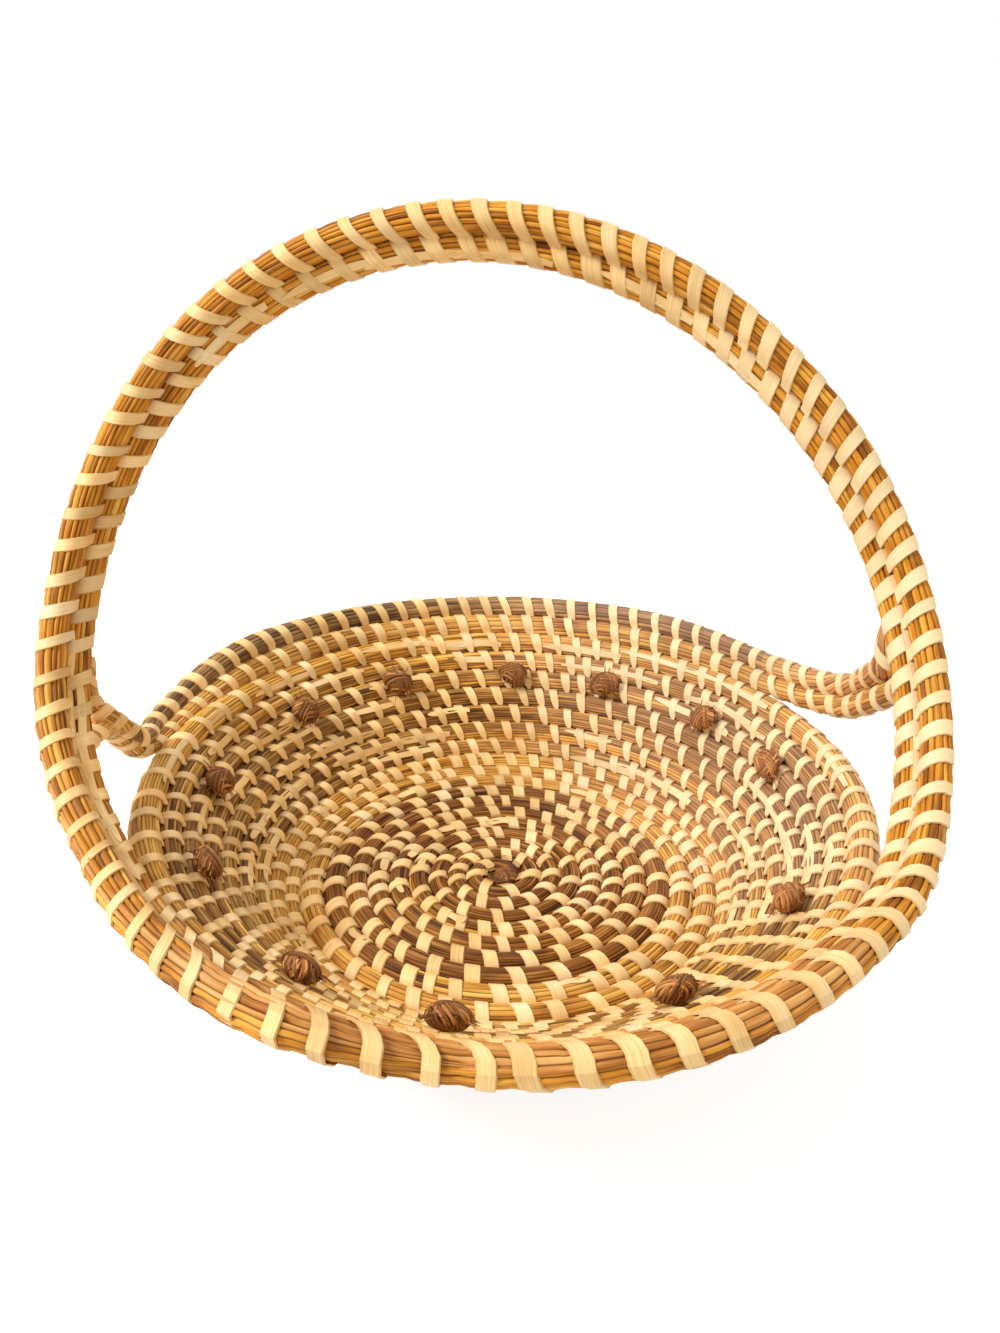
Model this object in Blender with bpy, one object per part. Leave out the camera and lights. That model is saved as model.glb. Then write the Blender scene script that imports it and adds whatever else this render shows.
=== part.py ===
"""Coiled sweetgrass basket with a carrying handle.

The whole basket is one long bundle of grass and pine needles, wound in a spiral: ten turns flat for
the base, eight up the flaring wall, and two more that run along the front rim and leave it at both
sides to rise as the handle. Two short strands finish the back rim and join the handle's legs.
Each stretch of bundle is its own piece, and twelve pine needle knots sit on the sixth wall row.

Metres, +Z up. The origin is on the resting face, under the start of the spiral. The basket's front,
where every stretch begins and ends, is at -Y, and the spiral runs anticlockwise seen from above.
"""
import math

import bmesh
import bpy
import numpy as np
from mathutils import Matrix, Vector

# Base and wall spiral
START_RADIUS = 0.0036           # from the centre to the bundle's axis, if the spiral began at turn 0
START_TURN = 0.5                # where the bundle really begins, beside the start knot
BASE_TURNS = 10
BASE_PITCH = 0.0070             # spacing of the first turns, which thicken outwards
BASE_PITCH_GROWTH = 0.00020     # per turn
WALL_TURNS = 8
WALL_PITCH = 0.0073             # spacing where the wall starts
WALL_PITCH_GROWTH = 0.00027     # per turn
WALL_SLOPE = math.radians(45.2)
FRONT_FLARE = math.radians(5.2)     # how much flatter the front of the wall lies
SIDE_RISE = math.radians(4.2)       # how much steeper it stands at the two sides
BACK_STRETCH_SHARE = 0.04           # how much wider apart the wall's turns lie at the back
CENTRE_DRIFT = 0.00024          # sideways wander of the turns' centre, per turn
STILL_TURN = 8                  # the turn that is centred on the origin
BUNDLE_GAP = 0.0006             # clear space between one turn and the next
JOINT_GAP = 0.0003              # clear space where two pieces meet
FLAT_SHARE = 0.1                # share of the bundle's diameter that is worn flat underneath
POINTS_PER_TURN = 24
WELD_DISTANCE = 1e-6            # joins a tube's loose caps to its sides

# Handle, two more turns of the bundle
RIM_TURN = BASE_TURNS + WALL_TURNS
HANDLE_REACH = 0.144            # half the handle's width, and how far forward the front rim lies
HANDLE_RISE = 0.2365            # height of the handle's guide line
HANDLE_PITCH = 0.0089           # spacing of the two bundles where they are clear of the wall
FOCUS_DEPTH = 0.080             # the pair lies towards a point this far below the floor
PAIR_LEAN_SHARE = 0.55          # how far the inner bundle hangs back from the outer one
ON_RIM_SHARE = 0.12             # share of the loop, each way from the front, that lies on the wall
OFF_RIM_SHARE = 0.21            # share at which it is clear of the wall
TAIL_SHARE = 0.35               # thickness that the bundle tapers to at its very end
TAIL_LENGTH_SHARE = 0.07        # share of the last loop that tapers
HANDLE_POINTS = 36
# Closed guide line, from the middle of the front rim to the right, over, and down the left:
# across and fore-and-aft as shares of HANDLE_REACH, up as shares of HANDLE_RISE
GUIDE_SHARES = (
    (0.0075, -1.00, 0.225), (0.34, -0.95, 0.225), (0.68, -0.78, 0.22), (0.85, -0.52, 0.255),
    (0.94, -0.26, 0.385), (0.89, -0.08, 0.575), (0.68, 0.02, 0.78), (0.32, 0.09, 0.945),
    (-0.10, 0.15, 1.00), (-0.54, 0.17, 0.93), (-0.85, 0.14, 0.76), (-1.01, 0.01, 0.54),
    (-1.00, -0.23, 0.345), (-0.82, -0.49, 0.255), (-0.60, -0.76, 0.22), (-0.37, -0.92, 0.23),
)

# Two strands along the back rim, one on the other, whose ends join the inside of the handle's legs
STRAND_BEARINGS = (34.0, 174.0)     # where they leave the wall at the right and at the left, degrees
STRAND_TAPER_BEARINGS = 30.0        # over this angle, at each end of the rim, they grow thinner
STRAND_END_SHARES = (0.80, 0.54)    # thickness at the right leg and at the left leg
STRAND_ROLL = math.radians(36.0)    # the left end rolls this far over the wall's outer side
ROLL_BEARINGS = 30.0                # over this angle
STRAND_POINTS = 20                  # places along the rim
STRAND_STEPS = 2                    # tube points from one place to the next
# Free ends from the rim to the handle: across and fore-and-aft as shares of HANDLE_REACH, up as
# shares of HANDLE_RISE
LOWER_RIGHT_SHARES = ((0.883, 0.27, 0.260), (0.915, 0.14, 0.290), (0.920, 0.03, 0.336))
UPPER_RIGHT_SHARES = ((0.883, 0.29, 0.291), (0.915, 0.17, 0.320), (0.920, 0.07, 0.367))
LOWER_LEFT_SHARES = ((-0.927, 0.021, 0.230), (-0.955, -0.042, 0.266), (-0.958, -0.097, 0.304))
UPPER_LEFT_SHARES = ((-0.913, 0.042, 0.258), (-0.934, -0.021, 0.290), (-0.944, -0.070, 0.328))
# The lower strand's ends meet the handle's inner bundle square, and the upper one's turn up along it.
# Places as shares of the handle's loop at the right and at the left, how far the strand's axis
# stands off the bundle's skin there, as shares of its radius, and how far round behind it that is
LOWER_LEG_SHARES = ((0.266, 0.266), (0.757, 0.757))
UPPER_LEG_SHARES = ((0.275, 0.284, 0.293), (0.739, 0.731, 0.722))
LOWER_STAND_OFF_SHARES = (2.0, 0.0)
UPPER_STAND_OFF_SHARES = (2.4, 1.0, 1.0)
LOWER_TUCK = math.radians(50.0)
UPPER_TUCK = math.radians(30.0)

# Knots
KNOT_LENGTH = 0.0140
KNOT_WIDTH = 0.0115
KNOT_HEIGHT = 0.0082
KNOT_TURN = BASE_TURNS + 5      # they sit on the row that begins here
KNOT_BEARINGS = (-153, -121, -98, -64, -33, 14, 38, 66, 89, 118, 144, 179)
START_KNOT_WIDTH = 0.0092
START_KNOT_HEIGHT = 0.0076
START_KNOT_PLACE = (0.0010, -0.0005)
START_SUNK_SHARE = 0.12         # share of the start knot's height that is pressed flat
FLUTE_SHARE = 0.10              # depth of the grooves that the wound needles leave
FLUTES = 3
KNOT_TWIST = 2.4                # radians that a groove turns from the knot's foot to its crown


def unit(vectors):
    """Vectors scaled to length one."""
    return vectors / np.linalg.norm(vectors, axis=-1, keepdims=True)


def smooth_step(value, low, high):
    """Rise from 0 at low to 1 at high, level at both."""
    x = np.clip((value - low) / (high - low), 0.0, 1.0)
    return x * x * (3.0 - 2.0 * x)


def spiral_axis(turn):
    """Axis of the bundle at a count of turns: flat for the base, then up the cone of the wall."""
    turn = np.asarray(turn, float)
    bearing = 2.0 * math.pi * turn - math.pi / 2.0
    flat = np.minimum(turn, BASE_TURNS)
    climbed = np.maximum(turn - BASE_TURNS, 0.0)
    front, back = np.maximum(-np.sin(bearing), 0.0) ** 2, np.maximum(np.sin(bearing), 0.0) ** 2
    slope = WALL_SLOPE - FRONT_FLARE * front + SIDE_RISE * np.cos(bearing) ** 2
    run = (WALL_PITCH * climbed + WALL_PITCH_GROWTH * climbed ** 2 / 2.0) * (1.0 + BACK_STRETCH_SHARE * back)
    out = START_RADIUS + BASE_PITCH * flat + BASE_PITCH_GROWTH * flat ** 2 / 2.0 + run * np.cos(slope)
    thick = BASE_PITCH + BASE_PITCH_GROWTH * flat - BUNDLE_GAP
    up = (0.5 - FLAT_SHARE) * thick + run * np.sin(slope)
    drift = CENTRE_DRIFT * (turn - STILL_TURN)
    return np.stack([drift + out * np.cos(bearing), out * np.sin(bearing), up], axis=-1)


def spiral_radius(turn):
    """Half the space between a turn and the nearer of its two neighbours, less the gap."""
    turn = np.asarray(turn, float)
    here = spiral_axis(turn)
    outer = np.linalg.norm(spiral_axis(turn + 1.0) - here, axis=-1)
    inner = np.linalg.norm(here - spiral_axis(np.maximum(turn - 1.0, 0.0)), axis=-1)
    inner = np.where(turn < START_TURN + 1.0, outer, inner)
    return (np.minimum(outer, inner) - BUNDLE_GAP) / 2.0


def tube_axis(turn):
    """Axis of the real tube at a turn: the straight run between the two points that bracket it."""
    place = turn * POINTS_PER_TURN - 0.5
    before = math.floor(place)
    first, second = (spiral_axis((before + step + 0.5) / POINTS_PER_TURN) for step in (0, 1))
    return first + (second - first) * (place - before)


def guide_line(share):
    """Closed uniform cubic B-spline through the handle's guide points, and its direction."""
    points = np.array(GUIDE_SHARES) * (HANDLE_REACH, HANDLE_REACH, HANDLE_RISE)
    place = np.mod(np.atleast_1d(share), 1.0) * len(points)
    knot = np.floor(place).astype(int)
    w = (place - knot)[:, None]
    four = [points[(knot + step) % len(points)] for step in (-1, 0, 1, 2)]
    weights = ((1 - w) ** 3, 3 * w ** 3 - 6 * w ** 2 + 4, -3 * w ** 3 + 3 * w ** 2 + 3 * w + 1, w ** 3)
    slopes = (-(1 - w) ** 2, 3 * w ** 2 - 4 * w, -3 * w ** 2 + 2 * w + 1, w ** 2)
    line = sum(a * b for a, b in zip(four, weights)) / 6.0
    return line, unit(sum(a * b for a, b in zip(four, slopes)))


def inner_side(line, along):
    """Unit vectors from the outer bundle to the inner one, square to the handle."""
    focus = np.array([0.0, 0.0, -FOCUS_DEPTH])
    inward = focus - line
    inward = unit(inward - (inward * along).sum(1, keepdims=True) * along)
    height = smooth_step(line[:, 2:3], 0.25 * HANDLE_RISE, 0.6 * HANDLE_RISE)
    return unit(inward + PAIR_LEAN_SHARE * height * np.cross(inward, along))


def handle_bundle(loops):
    """Axis and radius of the handle's bundle, from 0 loops at the rim turn to 2 at its end."""
    loops = np.asarray(loops, float)
    share = np.mod(loops, 1.0)
    line, along = guide_line(share)
    free = line + inner_side(line, along) * (HANDLE_PITCH * (1.0 - loops))[:, None]
    bearing = np.arctan2(free[:, 1], free[:, 0])
    slip = np.mod(bearing / (2.0 * math.pi) + 0.25 - share + 0.5, 1.0) - 0.5
    turn = RIM_TURN + loops + slip
    from_front = np.minimum(share, 1.0 - share)
    on_rim = 1.0 - smooth_step(from_front, ON_RIM_SHARE, OFF_RIM_SHARE)
    axis = free + on_rim[:, None] * (spiral_axis(turn) - free)
    thin = (HANDLE_PITCH - BUNDLE_GAP) / 2.0
    radius = thin + on_rim * (spiral_radius(turn) - thin)
    return axis, radius


def handle_pair(loops):
    """The handle's bundle, no thicker than the space to its other loop allows, with its tail."""
    axis, radius = handle_bundle(loops)
    other = np.where(loops < 1.0, loops + 1.0, loops - 1.0)
    beside, _ = handle_bundle(other)
    space = np.linalg.norm(beside - axis, axis=1)
    radius = np.minimum(radius, (space - BUNDLE_GAP) / 2.0)
    tail = smooth_step(loops, 2.0 - TAIL_LENGTH_SHARE, 2.0)
    tapered = radius * (1.0 - (1.0 - TAIL_SHARE) * tail)
    below = unit(beside - axis)
    return axis + below * (radius - tapered)[:, None], tapered


def material_for(name, colour, roughness):
    """Plain surface of one colour."""
    material = bpy.data.materials.new(name)
    material.use_nodes = True
    shader = material.node_tree.nodes["Principled BSDF"]
    shader.inputs["Base Color"].default_value = (*colour, 1.0)
    shader.inputs["Roughness"].default_value = roughness
    shader.inputs["Metallic"].default_value = 0.0
    return material


def least_gap(points, radii, skip):
    """Least clear space of a tube to itself, between points that lie more than skip apart along it."""
    middle = (points[1:] + points[:-1]) / 2.0
    half = (radii[1:] + radii[:-1]) / 2.0
    everything = np.concatenate([points, middle])
    sizes = np.concatenate([radii, half])
    order = np.concatenate([np.arange(len(points)), np.arange(len(middle)) + 0.5])
    apart = np.linalg.norm(everything[:, None] - everything[None], axis=2) - sizes[:, None] - sizes[None]
    far = np.abs(order[:, None] - order[None]) > skip
    return apart[far].min() if far.any() else None


def measured(points, radii):
    """The least gap of a tube to itself as words, for tubes that pass themselves."""
    gap = least_gap(points, radii, POINTS_PER_TURN / 4.0)
    return "none, it never passes itself" if gap is None else f"{gap * 1000.0:.2f} mm"


def tube(name, points, radii, material, collection, level=False):
    """A bundle: a six-sided tube along points, with a radius at each; level keeps a flat side down."""
    curve = bpy.data.curves.new(name, "CURVE")
    curve.dimensions = "3D"
    curve.twist_mode = "Z_UP" if level else "MINIMUM"
    curve.bevel_mode = "ROUND"
    curve.bevel_depth = float(radii.max())
    curve.bevel_resolution = 1
    curve.use_fill_caps = True
    spline = curve.splines.new("POLY")
    spline.points.add(len(points) - 1)
    for point, place, radius in zip(spline.points, points, radii):
        point.co = (*place, 1.0)
        point.radius = float(radius) / curve.bevel_depth
    spline.use_smooth = True
    piece = bpy.data.objects.new(name, curve)
    collection.objects.link(piece)
    curve.materials.append(material)
    return piece


def wear_flat(piece):
    """Make a tube a mesh and press its underside flat on the floor."""
    evaluated = piece.evaluated_get(bpy.context.evaluated_depsgraph_get())
    mesh = bpy.data.meshes.new_from_object(evaluated)
    bm = bmesh.new()
    bm.from_mesh(mesh)
    bmesh.ops.remove_doubles(bm, verts=bm.verts, dist=WELD_DISTANCE)
    for vert in bm.verts:
        vert.co.z = max(vert.co.z, 0.0)
    bm.to_mesh(mesh)
    bm.free()
    name, collection, place = piece.name, piece.users_collection[0], piece.matrix_world.copy()
    bpy.data.objects.remove(piece)
    mesh.name = name
    flat = bpy.data.objects.new(name, mesh)
    flat.matrix_world = place
    collection.objects.link(flat)
    return flat


def knot(name, place, along, out, size, material, collection, floor=None):
    """A tied lump of pine needles: a rounded body with twisted grooves, lying on its carrier."""
    mesh = bpy.data.meshes.new(name)
    bm = bmesh.new()
    bmesh.ops.create_uvsphere(bm, u_segments=12, v_segments=8, radius=0.5)
    for vert in bm.verts:
        turn = math.atan2(vert.co.y, vert.co.x)
        groove = 1.0 + FLUTE_SHARE * (math.cos(FLUTES * turn + KNOT_TWIST * vert.co.z) - 1.0)
        vert.co.x *= groove
        vert.co.y *= groove
    along = Vector(along).normalized()
    out = Vector(out).normalized()
    side = out.cross(along).normalized()
    turned = Matrix((along, side, out)).transposed().to_4x4()
    bmesh.ops.transform(bm, matrix=Matrix.Diagonal((*size, 1.0)), verts=bm.verts)
    bmesh.ops.transform(bm, matrix=turned, verts=bm.verts)
    if floor is not None:
        for vert in bm.verts:
            vert.co.z = max(vert.co.z, floor - place[2])
    bm.to_mesh(mesh)
    bm.free()
    for face in mesh.polygons:
        face.use_smooth = True
    piece = bpy.data.objects.new(name, mesh)
    piece.location = place
    collection.objects.link(piece)
    mesh.materials.append(material)
    return piece


def stretches():
    """Every stretch of the one long bundle, in order: name, finish, axis points and radii."""
    plan = (
        ("base_coil_brown", "brown", START_TURN, 8),
        ("base_coil_gold", "gold", 8, BASE_TURNS),
        ("corner_coil_gold", "gold", BASE_TURNS, BASE_TURNS + 1),
        ("wall_coil_lower", "grey", BASE_TURNS + 1, KNOT_TURN),
        ("wall_coil_knot_row", "grey", KNOT_TURN, KNOT_TURN + 1),
        ("wall_coil_upper", "grey", KNOT_TURN + 1, RIM_TURN - 1),
        ("wall_coil_gold", "gold", RIM_TURN - 1, RIM_TURN),
    )
    found = []
    for name, finish, first, last in plan:
        count = round((last - first) * POINTS_PER_TURN)
        turns = first + (np.arange(count) + 0.5) / POINTS_PER_TURN
        found.append([name, finish, spiral_axis(turns), spiral_radius(turns)])
    for name, first in (("handle_coil_inner", 0), ("handle_coil_outer", 1)):
        loops = first + (np.arange(HANDLE_POINTS) + 0.5) / HANDLE_POINTS
        found.append([name, "tan", *handle_pair(loops)])
    return found


def join_ends(pieces):
    """Give neighbouring stretches flat ends that face each other on one straight line."""
    for first, second in zip(pieces, pieces[1:]):
        before, after = first[2][-1], second[2][0]
        middle, along = (before + after) / 2.0, unit(after - before)
        radius = (first[3][-1] + second[3][0]) / 2.0
        first[2] = np.vstack([first[2], middle - along * JOINT_GAP / 2.0])
        second[2] = np.vstack([middle + along * JOINT_GAP / 2.0, second[2]])
        first[3] = np.append(first[3], radius)
        second[3] = np.insert(second[3], 0, radius)


def straighten_start(piece):
    """Let the bundle begin with one straight run as long as it is thick."""
    points, radii = piece[2], piece[3]
    reach = np.linalg.norm(points - points[0], axis=1)
    keep = int(np.argmax(reach >= 2.0 * radii[0]))
    piece[2] = np.vstack([points[:1], points[keep:]])
    piece[3] = np.append(radii[:1], radii[keep:])


def seated_rim(degrees, turn_offset, under, under_radius):
    """Axis and radius of a strand along the back rim, seated on the row under it and thinner at its ends."""
    turns = RIM_TURN + turn_offset + np.mod(degrees / 360.0 + 0.25, 1.0)
    right, left = STRAND_END_SHARES
    fullness = (smooth_step(degrees - degrees[0], 0.0, STRAND_TAPER_BEARINGS) * (1.0 - right) + right,
                smooth_step(degrees[-1] - degrees, 0.0, STRAND_TAPER_BEARINGS) * (1.0 - left) + left)
    radius = spiral_radius(turns) * np.minimum(*fullness)
    rise = unit(spiral_axis(turns) - under)
    roll = STRAND_ROLL * smooth_step(degrees, degrees[-1] - ROLL_BEARINGS, degrees[-1])[:, None]
    around = unit(np.gradient(under, axis=0))
    rolled = rise * np.cos(roll) + np.cross(around, rise) * np.sin(roll)
    return under + rolled * (under_radius + radius + BUNDLE_GAP)[:, None], radius


def on_leg(shares, stand_off_shares, tuck, radius):
    """Places of a strand's end at the inner bundle of the handle, beside its skin or square to it."""
    shares, step = np.array(shares), 0.5 / HANDLE_POINTS
    axis, thick = handle_pair(shares)
    along = unit(handle_pair(shares + step)[0] - handle_pair(shares - step)[0])
    inward = inner_side(axis, along)
    behind = np.cross(inward, along)
    side = inward * math.cos(tuck) + behind * math.sin(tuck)
    away = thick + BUNDLE_GAP + radius * np.array(stand_off_shares)
    return axis + side * away[:, None]


def free_ends(rim, radius, free_shares, leg_shares, stand_off_shares, tuck):
    """A strand's whole axis and radii, with its two ends carried on from the rim to the handle."""
    scale = np.array([HANDLE_REACH, HANDLE_REACH, HANDLE_RISE])
    right, left = (np.vstack([np.array(free) * scale, on_leg(leg, stand_off_shares, tuck, thick)])
                   for free, leg, thick in zip(free_shares, leg_shares, (radius[0], radius[-1])))
    route = np.vstack([right[::-1], rim, left])
    sizes = np.concatenate([np.full(len(right), radius[0]), radius, np.full(len(left), radius[-1])])
    return smooth_route(route, sizes, STRAND_STEPS)


def smooth_route(route, sizes, steps):
    """Points on a Catmull-Rom curve through the places of a route, with the sizes carried along."""
    padded = np.vstack([2 * route[0] - route[1], route, 2 * route[-1] - route[-2]])
    points, radii = [], []
    for i in range(len(route) - 1):
        a, b, c, d = padded[i:i + 4]
        for step in range(steps):
            t = step / steps
            points.append(0.5 * (2 * b + (c - a) * t + (2 * a - 5 * b + 4 * c - d) * t ** 2
                                 + (3 * b - a - 3 * c + d) * t ** 3))
            radii.append(sizes[i] + (sizes[i + 1] - sizes[i]) * t)
    points.append(route[-1])
    radii.append(sizes[-1])
    return np.array(points), np.array(radii)


def strands():
    """The two back strands, each as its name, axis points and radii."""
    low, high = STRAND_BEARINGS
    degrees = np.linspace(low, high, STRAND_POINTS)
    top_row = RIM_TURN - 1 + np.mod(degrees / 360.0 + 0.25, 1.0)
    under, under_radius = spiral_axis(top_row), spiral_radius(top_row)
    found = []
    ends = {
        "lower": ((LOWER_RIGHT_SHARES, LOWER_LEFT_SHARES), LOWER_LEG_SHARES,
                  LOWER_STAND_OFF_SHARES, LOWER_TUCK),
        "upper": ((UPPER_RIGHT_SHARES, UPPER_LEFT_SHARES), UPPER_LEG_SHARES,
                  UPPER_STAND_OFF_SHARES, UPPER_TUCK),
    }
    for offset, (place, end) in enumerate(ends.items()):
        rim, radius = seated_rim(degrees, offset, under, under_radius)
        found.append((f"back_strand_{place}", *free_ends(rim, radius, *end)))
        under, under_radius = rim, radius
    return found


def build():
    """Make every piece of the basket."""
    for thing in list(bpy.data.objects):
        bpy.data.objects.remove(thing)
    collection = bpy.data.collections.new("sweetgrass_basket")
    bpy.context.scene.collection.children.link(collection)
    finishes = {
        "brown": material_for("brown_needle_bundle", (0.19, 0.085, 0.035), 0.62),
        "gold": material_for("golden_grass_bundle", (0.56, 0.32, 0.10), 0.55),
        "grey": material_for("weathered_grass_bundle", (0.26, 0.165, 0.085), 0.65),
        "tan": material_for("handle_grass_bundle", (0.44, 0.20, 0.065), 0.58),
        "rim": material_for("dark_rim_bundle", (0.13, 0.065, 0.035), 0.62),
        "knot": material_for("pine_needle_knot", (0.105, 0.03, 0.014), 0.6),
    }

    pieces = stretches()
    straighten_start(pieces[0])
    join_ends(pieces)
    for name, finish, points, radii in pieces:
        resting = name.startswith("base")
        piece = tube(name, points, radii, finishes[finish], collection, level=resting)
        if resting:
            wear_flat(piece)
        print(f"{name}: least gap to itself {measured(points, radii)}")
    for name, points, radii in strands():
        tube(name, points, radii, finishes["rim" if name.endswith("upper") else "gold"], collection)
        print(f"{name}: least gap to itself {measured(points, radii)}")

    size = (KNOT_LENGTH, KNOT_WIDTH, KNOT_HEIGHT)
    for number, bearing in enumerate(sorted(KNOT_BEARINGS), 1):
        turn = KNOT_TURN + (bearing / 360.0 + 0.25) % 1.0
        step = 0.5 / POINTS_PER_TURN
        here = tube_axis(turn)
        along = unit(spiral_axis(turn + step) - spiral_axis(turn - step))
        upward = unit(spiral_axis(turn + 1.0) - here)
        out = unit(np.cross(along, upward))
        out = -out if out[2] < 0.0 else out
        place = here + out * (spiral_radius(turn) + JOINT_GAP + KNOT_HEIGHT / 2.0)
        knot(f"pine_needle_knot_{number:02d}", place, along, out, size, finishes["knot"], collection)
    size = (START_KNOT_WIDTH, START_KNOT_WIDTH, START_KNOT_HEIGHT)
    place = (*START_KNOT_PLACE, (0.5 - START_SUNK_SHARE) * START_KNOT_HEIGHT)
    knot("start_knot", place, (1, 0, 0), (0, 0, 1), size, finishes["knot"], collection, floor=0.0)


build()
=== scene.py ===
"""A coiled basket of grass and pine needle bundles, sewn with palmetto strips, with a loop handle.

The sections follow the making: the room and the camera, the one long bundle from the middle of the
base to the end of the handle, the two strands along the back rim, the palmetto stitches, the spliced
ends of the strips, and the knots of pine needles.
"""
import math

import bpy
import numpy as np
from mathutils import Matrix, Vector


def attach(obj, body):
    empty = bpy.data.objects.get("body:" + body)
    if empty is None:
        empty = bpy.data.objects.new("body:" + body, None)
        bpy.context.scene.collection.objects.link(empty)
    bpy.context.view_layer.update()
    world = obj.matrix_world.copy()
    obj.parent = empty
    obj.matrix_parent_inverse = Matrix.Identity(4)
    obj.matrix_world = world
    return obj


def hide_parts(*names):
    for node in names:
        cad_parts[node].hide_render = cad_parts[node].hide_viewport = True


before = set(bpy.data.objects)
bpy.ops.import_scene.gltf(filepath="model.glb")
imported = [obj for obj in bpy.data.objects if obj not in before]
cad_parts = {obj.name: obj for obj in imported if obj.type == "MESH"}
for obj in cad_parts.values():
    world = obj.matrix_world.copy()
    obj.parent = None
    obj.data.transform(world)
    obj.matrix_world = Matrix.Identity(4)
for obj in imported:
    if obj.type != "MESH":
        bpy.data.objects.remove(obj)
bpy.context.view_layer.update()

# The basket stands on a white table under soft light from the upper left, and the camera looks down
# into the bowl from close by, so that the front rim comes out large and the handle rises over it.
CAMERA_PLACE = Vector((-0.0009, -0.3108, 0.2250))
YAW, PITCH, ROLL = math.radians(-0.22), math.radians(23.13), math.radians(0.72)
FOCUS_IN_FRAME_HEIGHTS = 965.5 / 1333.0

forward = Vector((math.sin(YAW) * math.cos(PITCH), math.cos(YAW) * math.cos(PITCH), -math.sin(PITCH)))
level = Vector((math.cos(YAW), -math.sin(YAW), 0.0))
upright = level.cross(forward)
right = level * math.cos(ROLL) + upright * math.sin(ROLL)
up = upright * math.cos(ROLL) - level * math.sin(ROLL)
lens = bpy.data.cameras.new("camera")
lens.sensor_width = 36.0
lens.lens = 36.0 * FOCUS_IN_FRAME_HEIGHTS
lens.clip_start = 0.01
camera = bpy.data.objects.new("camera", lens)
camera.matrix_world = Matrix((right, up, -forward)).transposed().to_4x4()
camera.location = CAMERA_PLACE
bpy.context.scene.collection.objects.link(camera)
bpy.context.scene.camera = camera
bpy.context.scene.view_settings.view_transform = "Standard"


def put(tree, kind, inputs=None, **settings):
    """Add a shader node. Settings are its properties, inputs its sockets' values or what feeds them."""
    made = tree.nodes.new("ShaderNode" + kind)
    for key, value in settings.items():
        setattr(made, key, value)
    for key, value in (inputs or {}).items():
        if isinstance(value, bpy.types.NodeSocket):
            tree.links.new(value, made.inputs[key])
        else:
            made.inputs[key].default_value = value
    return made


def unclipped_white(tree):
    """One for what is seen straight, in gloss or through glass, and nought for light on the basket."""
    ray = put(tree, "LightPath")
    seen = put(tree, "Math", {0: ray.outputs["Is Camera Ray"], 1: ray.outputs["Is Glossy Ray"]},
               operation="MAXIMUM")
    return put(tree, "Math", {0: seen.outputs[0], 1: ray.outputs["Is Transmission Ray"]},
               operation="MAXIMUM").outputs[0]


sky = bpy.data.worlds.new("soft_white_room")
sky.use_nodes = True
tree = sky.node_tree
tree.nodes.clear()
lit = put(tree, "Background", {"Color": (1.0, 0.955, 0.85, 1.0), "Strength": 0.50})
seen = put(tree, "Background", {"Color": (1.0, 1.0, 1.0, 1.0), "Strength": 1.0})
both = put(tree, "MixShader", {0: unclipped_white(tree), 1: lit.outputs[0], 2: seen.outputs[0]})
put(tree, "OutputWorld", {"Surface": both.outputs[0]})
bpy.context.scene.world = sky

table = bpy.data.materials.new("white_table")
table.use_nodes = True
tree = table.node_tree
tree.nodes.clear()
seen = unclipped_white(tree)
shade = put(tree, "MapRange", {0: seen, 3: 0.80, 4: 0.52})
matt = put(tree, "BsdfDiffuse", {"Color": shade.outputs[0]})
share = put(tree, "Math", {0: seen, 1: 0.80}, operation="MULTIPLY")
glow = put(tree, "Emission", {"Color": (0.96, 0.975, 1.0, 1.0), "Strength": share.outputs[0]})
both = put(tree, "AddShader", {0: matt.outputs[0], 1: glow.outputs[0]})
put(tree, "OutputMaterial", {"Surface": both.outputs[0]})
mesh = bpy.data.meshes.new("table_top")
mesh.from_pydata([(-9, -9, 0), (9, -9, 0), (9, 9, 0), (-9, 9, 0)], [], [(0, 1, 2, 3)])
mesh.materials.append(table)
table_top = bpy.data.objects.new("table_top", mesh)
table_top.location.z = -0.0004
bpy.context.scene.collection.objects.link(table_top)

# name, place, size across, power, colour
for name, place, size, power, colour in (
    ("key_upper_left", (-0.90, -0.30, 0.95), 0.45, 17.0, (1.0, 0.985, 0.965)),
    ("fill_right", (1.0, -0.7, 0.7), 0.9, 4.0, (1.0, 0.90, 0.74)),
    ("top_behind", (0.15, 0.9, 1.0), 0.7, 4.0, (1.0, 0.975, 0.93)),
):
    lamp = bpy.data.lights.new(name, "AREA")
    lamp.shape = "DISK"
    lamp.size = size
    lamp.energy = power
    lamp.color = colour
    holder = bpy.data.objects.new(name, lamp)
    holder.location = place
    holder.rotation_euler = (Vector((0.0, 0.0, 0.06)) - Vector(place)).to_track_quat("-Z", "Y").to_euler()
    bpy.context.scene.collection.objects.link(holder)

# The base: one bundle of brown pine needles, as thick as a finger, wound flat from the middle, each
# turn lying against the one before. Fresh golden grass is worked in for the last two turns, and the
# same bundle goes on without a break into the wall, the rim and the handle.
START_RADIUS = 0.0036
START_TURN = 0.5
BASE_TURNS = 10
BASE_PITCH = 0.0070
BASE_PITCH_GROWTH = 0.0002
WALL_PITCH = 0.0073
WALL_PITCH_GROWTH = 0.00027
WALL_SLOPE = math.radians(45.2)
FRONT_FLARE = math.radians(5.2)
SIDE_RISE = math.radians(4.2)
BACK_STRETCH_SHARE = 0.04
CENTRE_DRIFT = 0.00024
STILL_TURN = 8
BUNDLE_GAP = 0.0006
FLAT_SHARE = 0.1
RIM_TURN = 18
STEMS = 20              # ridges round the bundle in the basket
HANDLE_STEMS = 15
GROOVE_SHARE = 0.10     # how deep the grooves between stems are, of the radius
RING_STEP = 0.0024      # from one ring of the surface to the next
STEM_TWIST = 5.0        # radians a metre that the stems turn round the bundle
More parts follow.
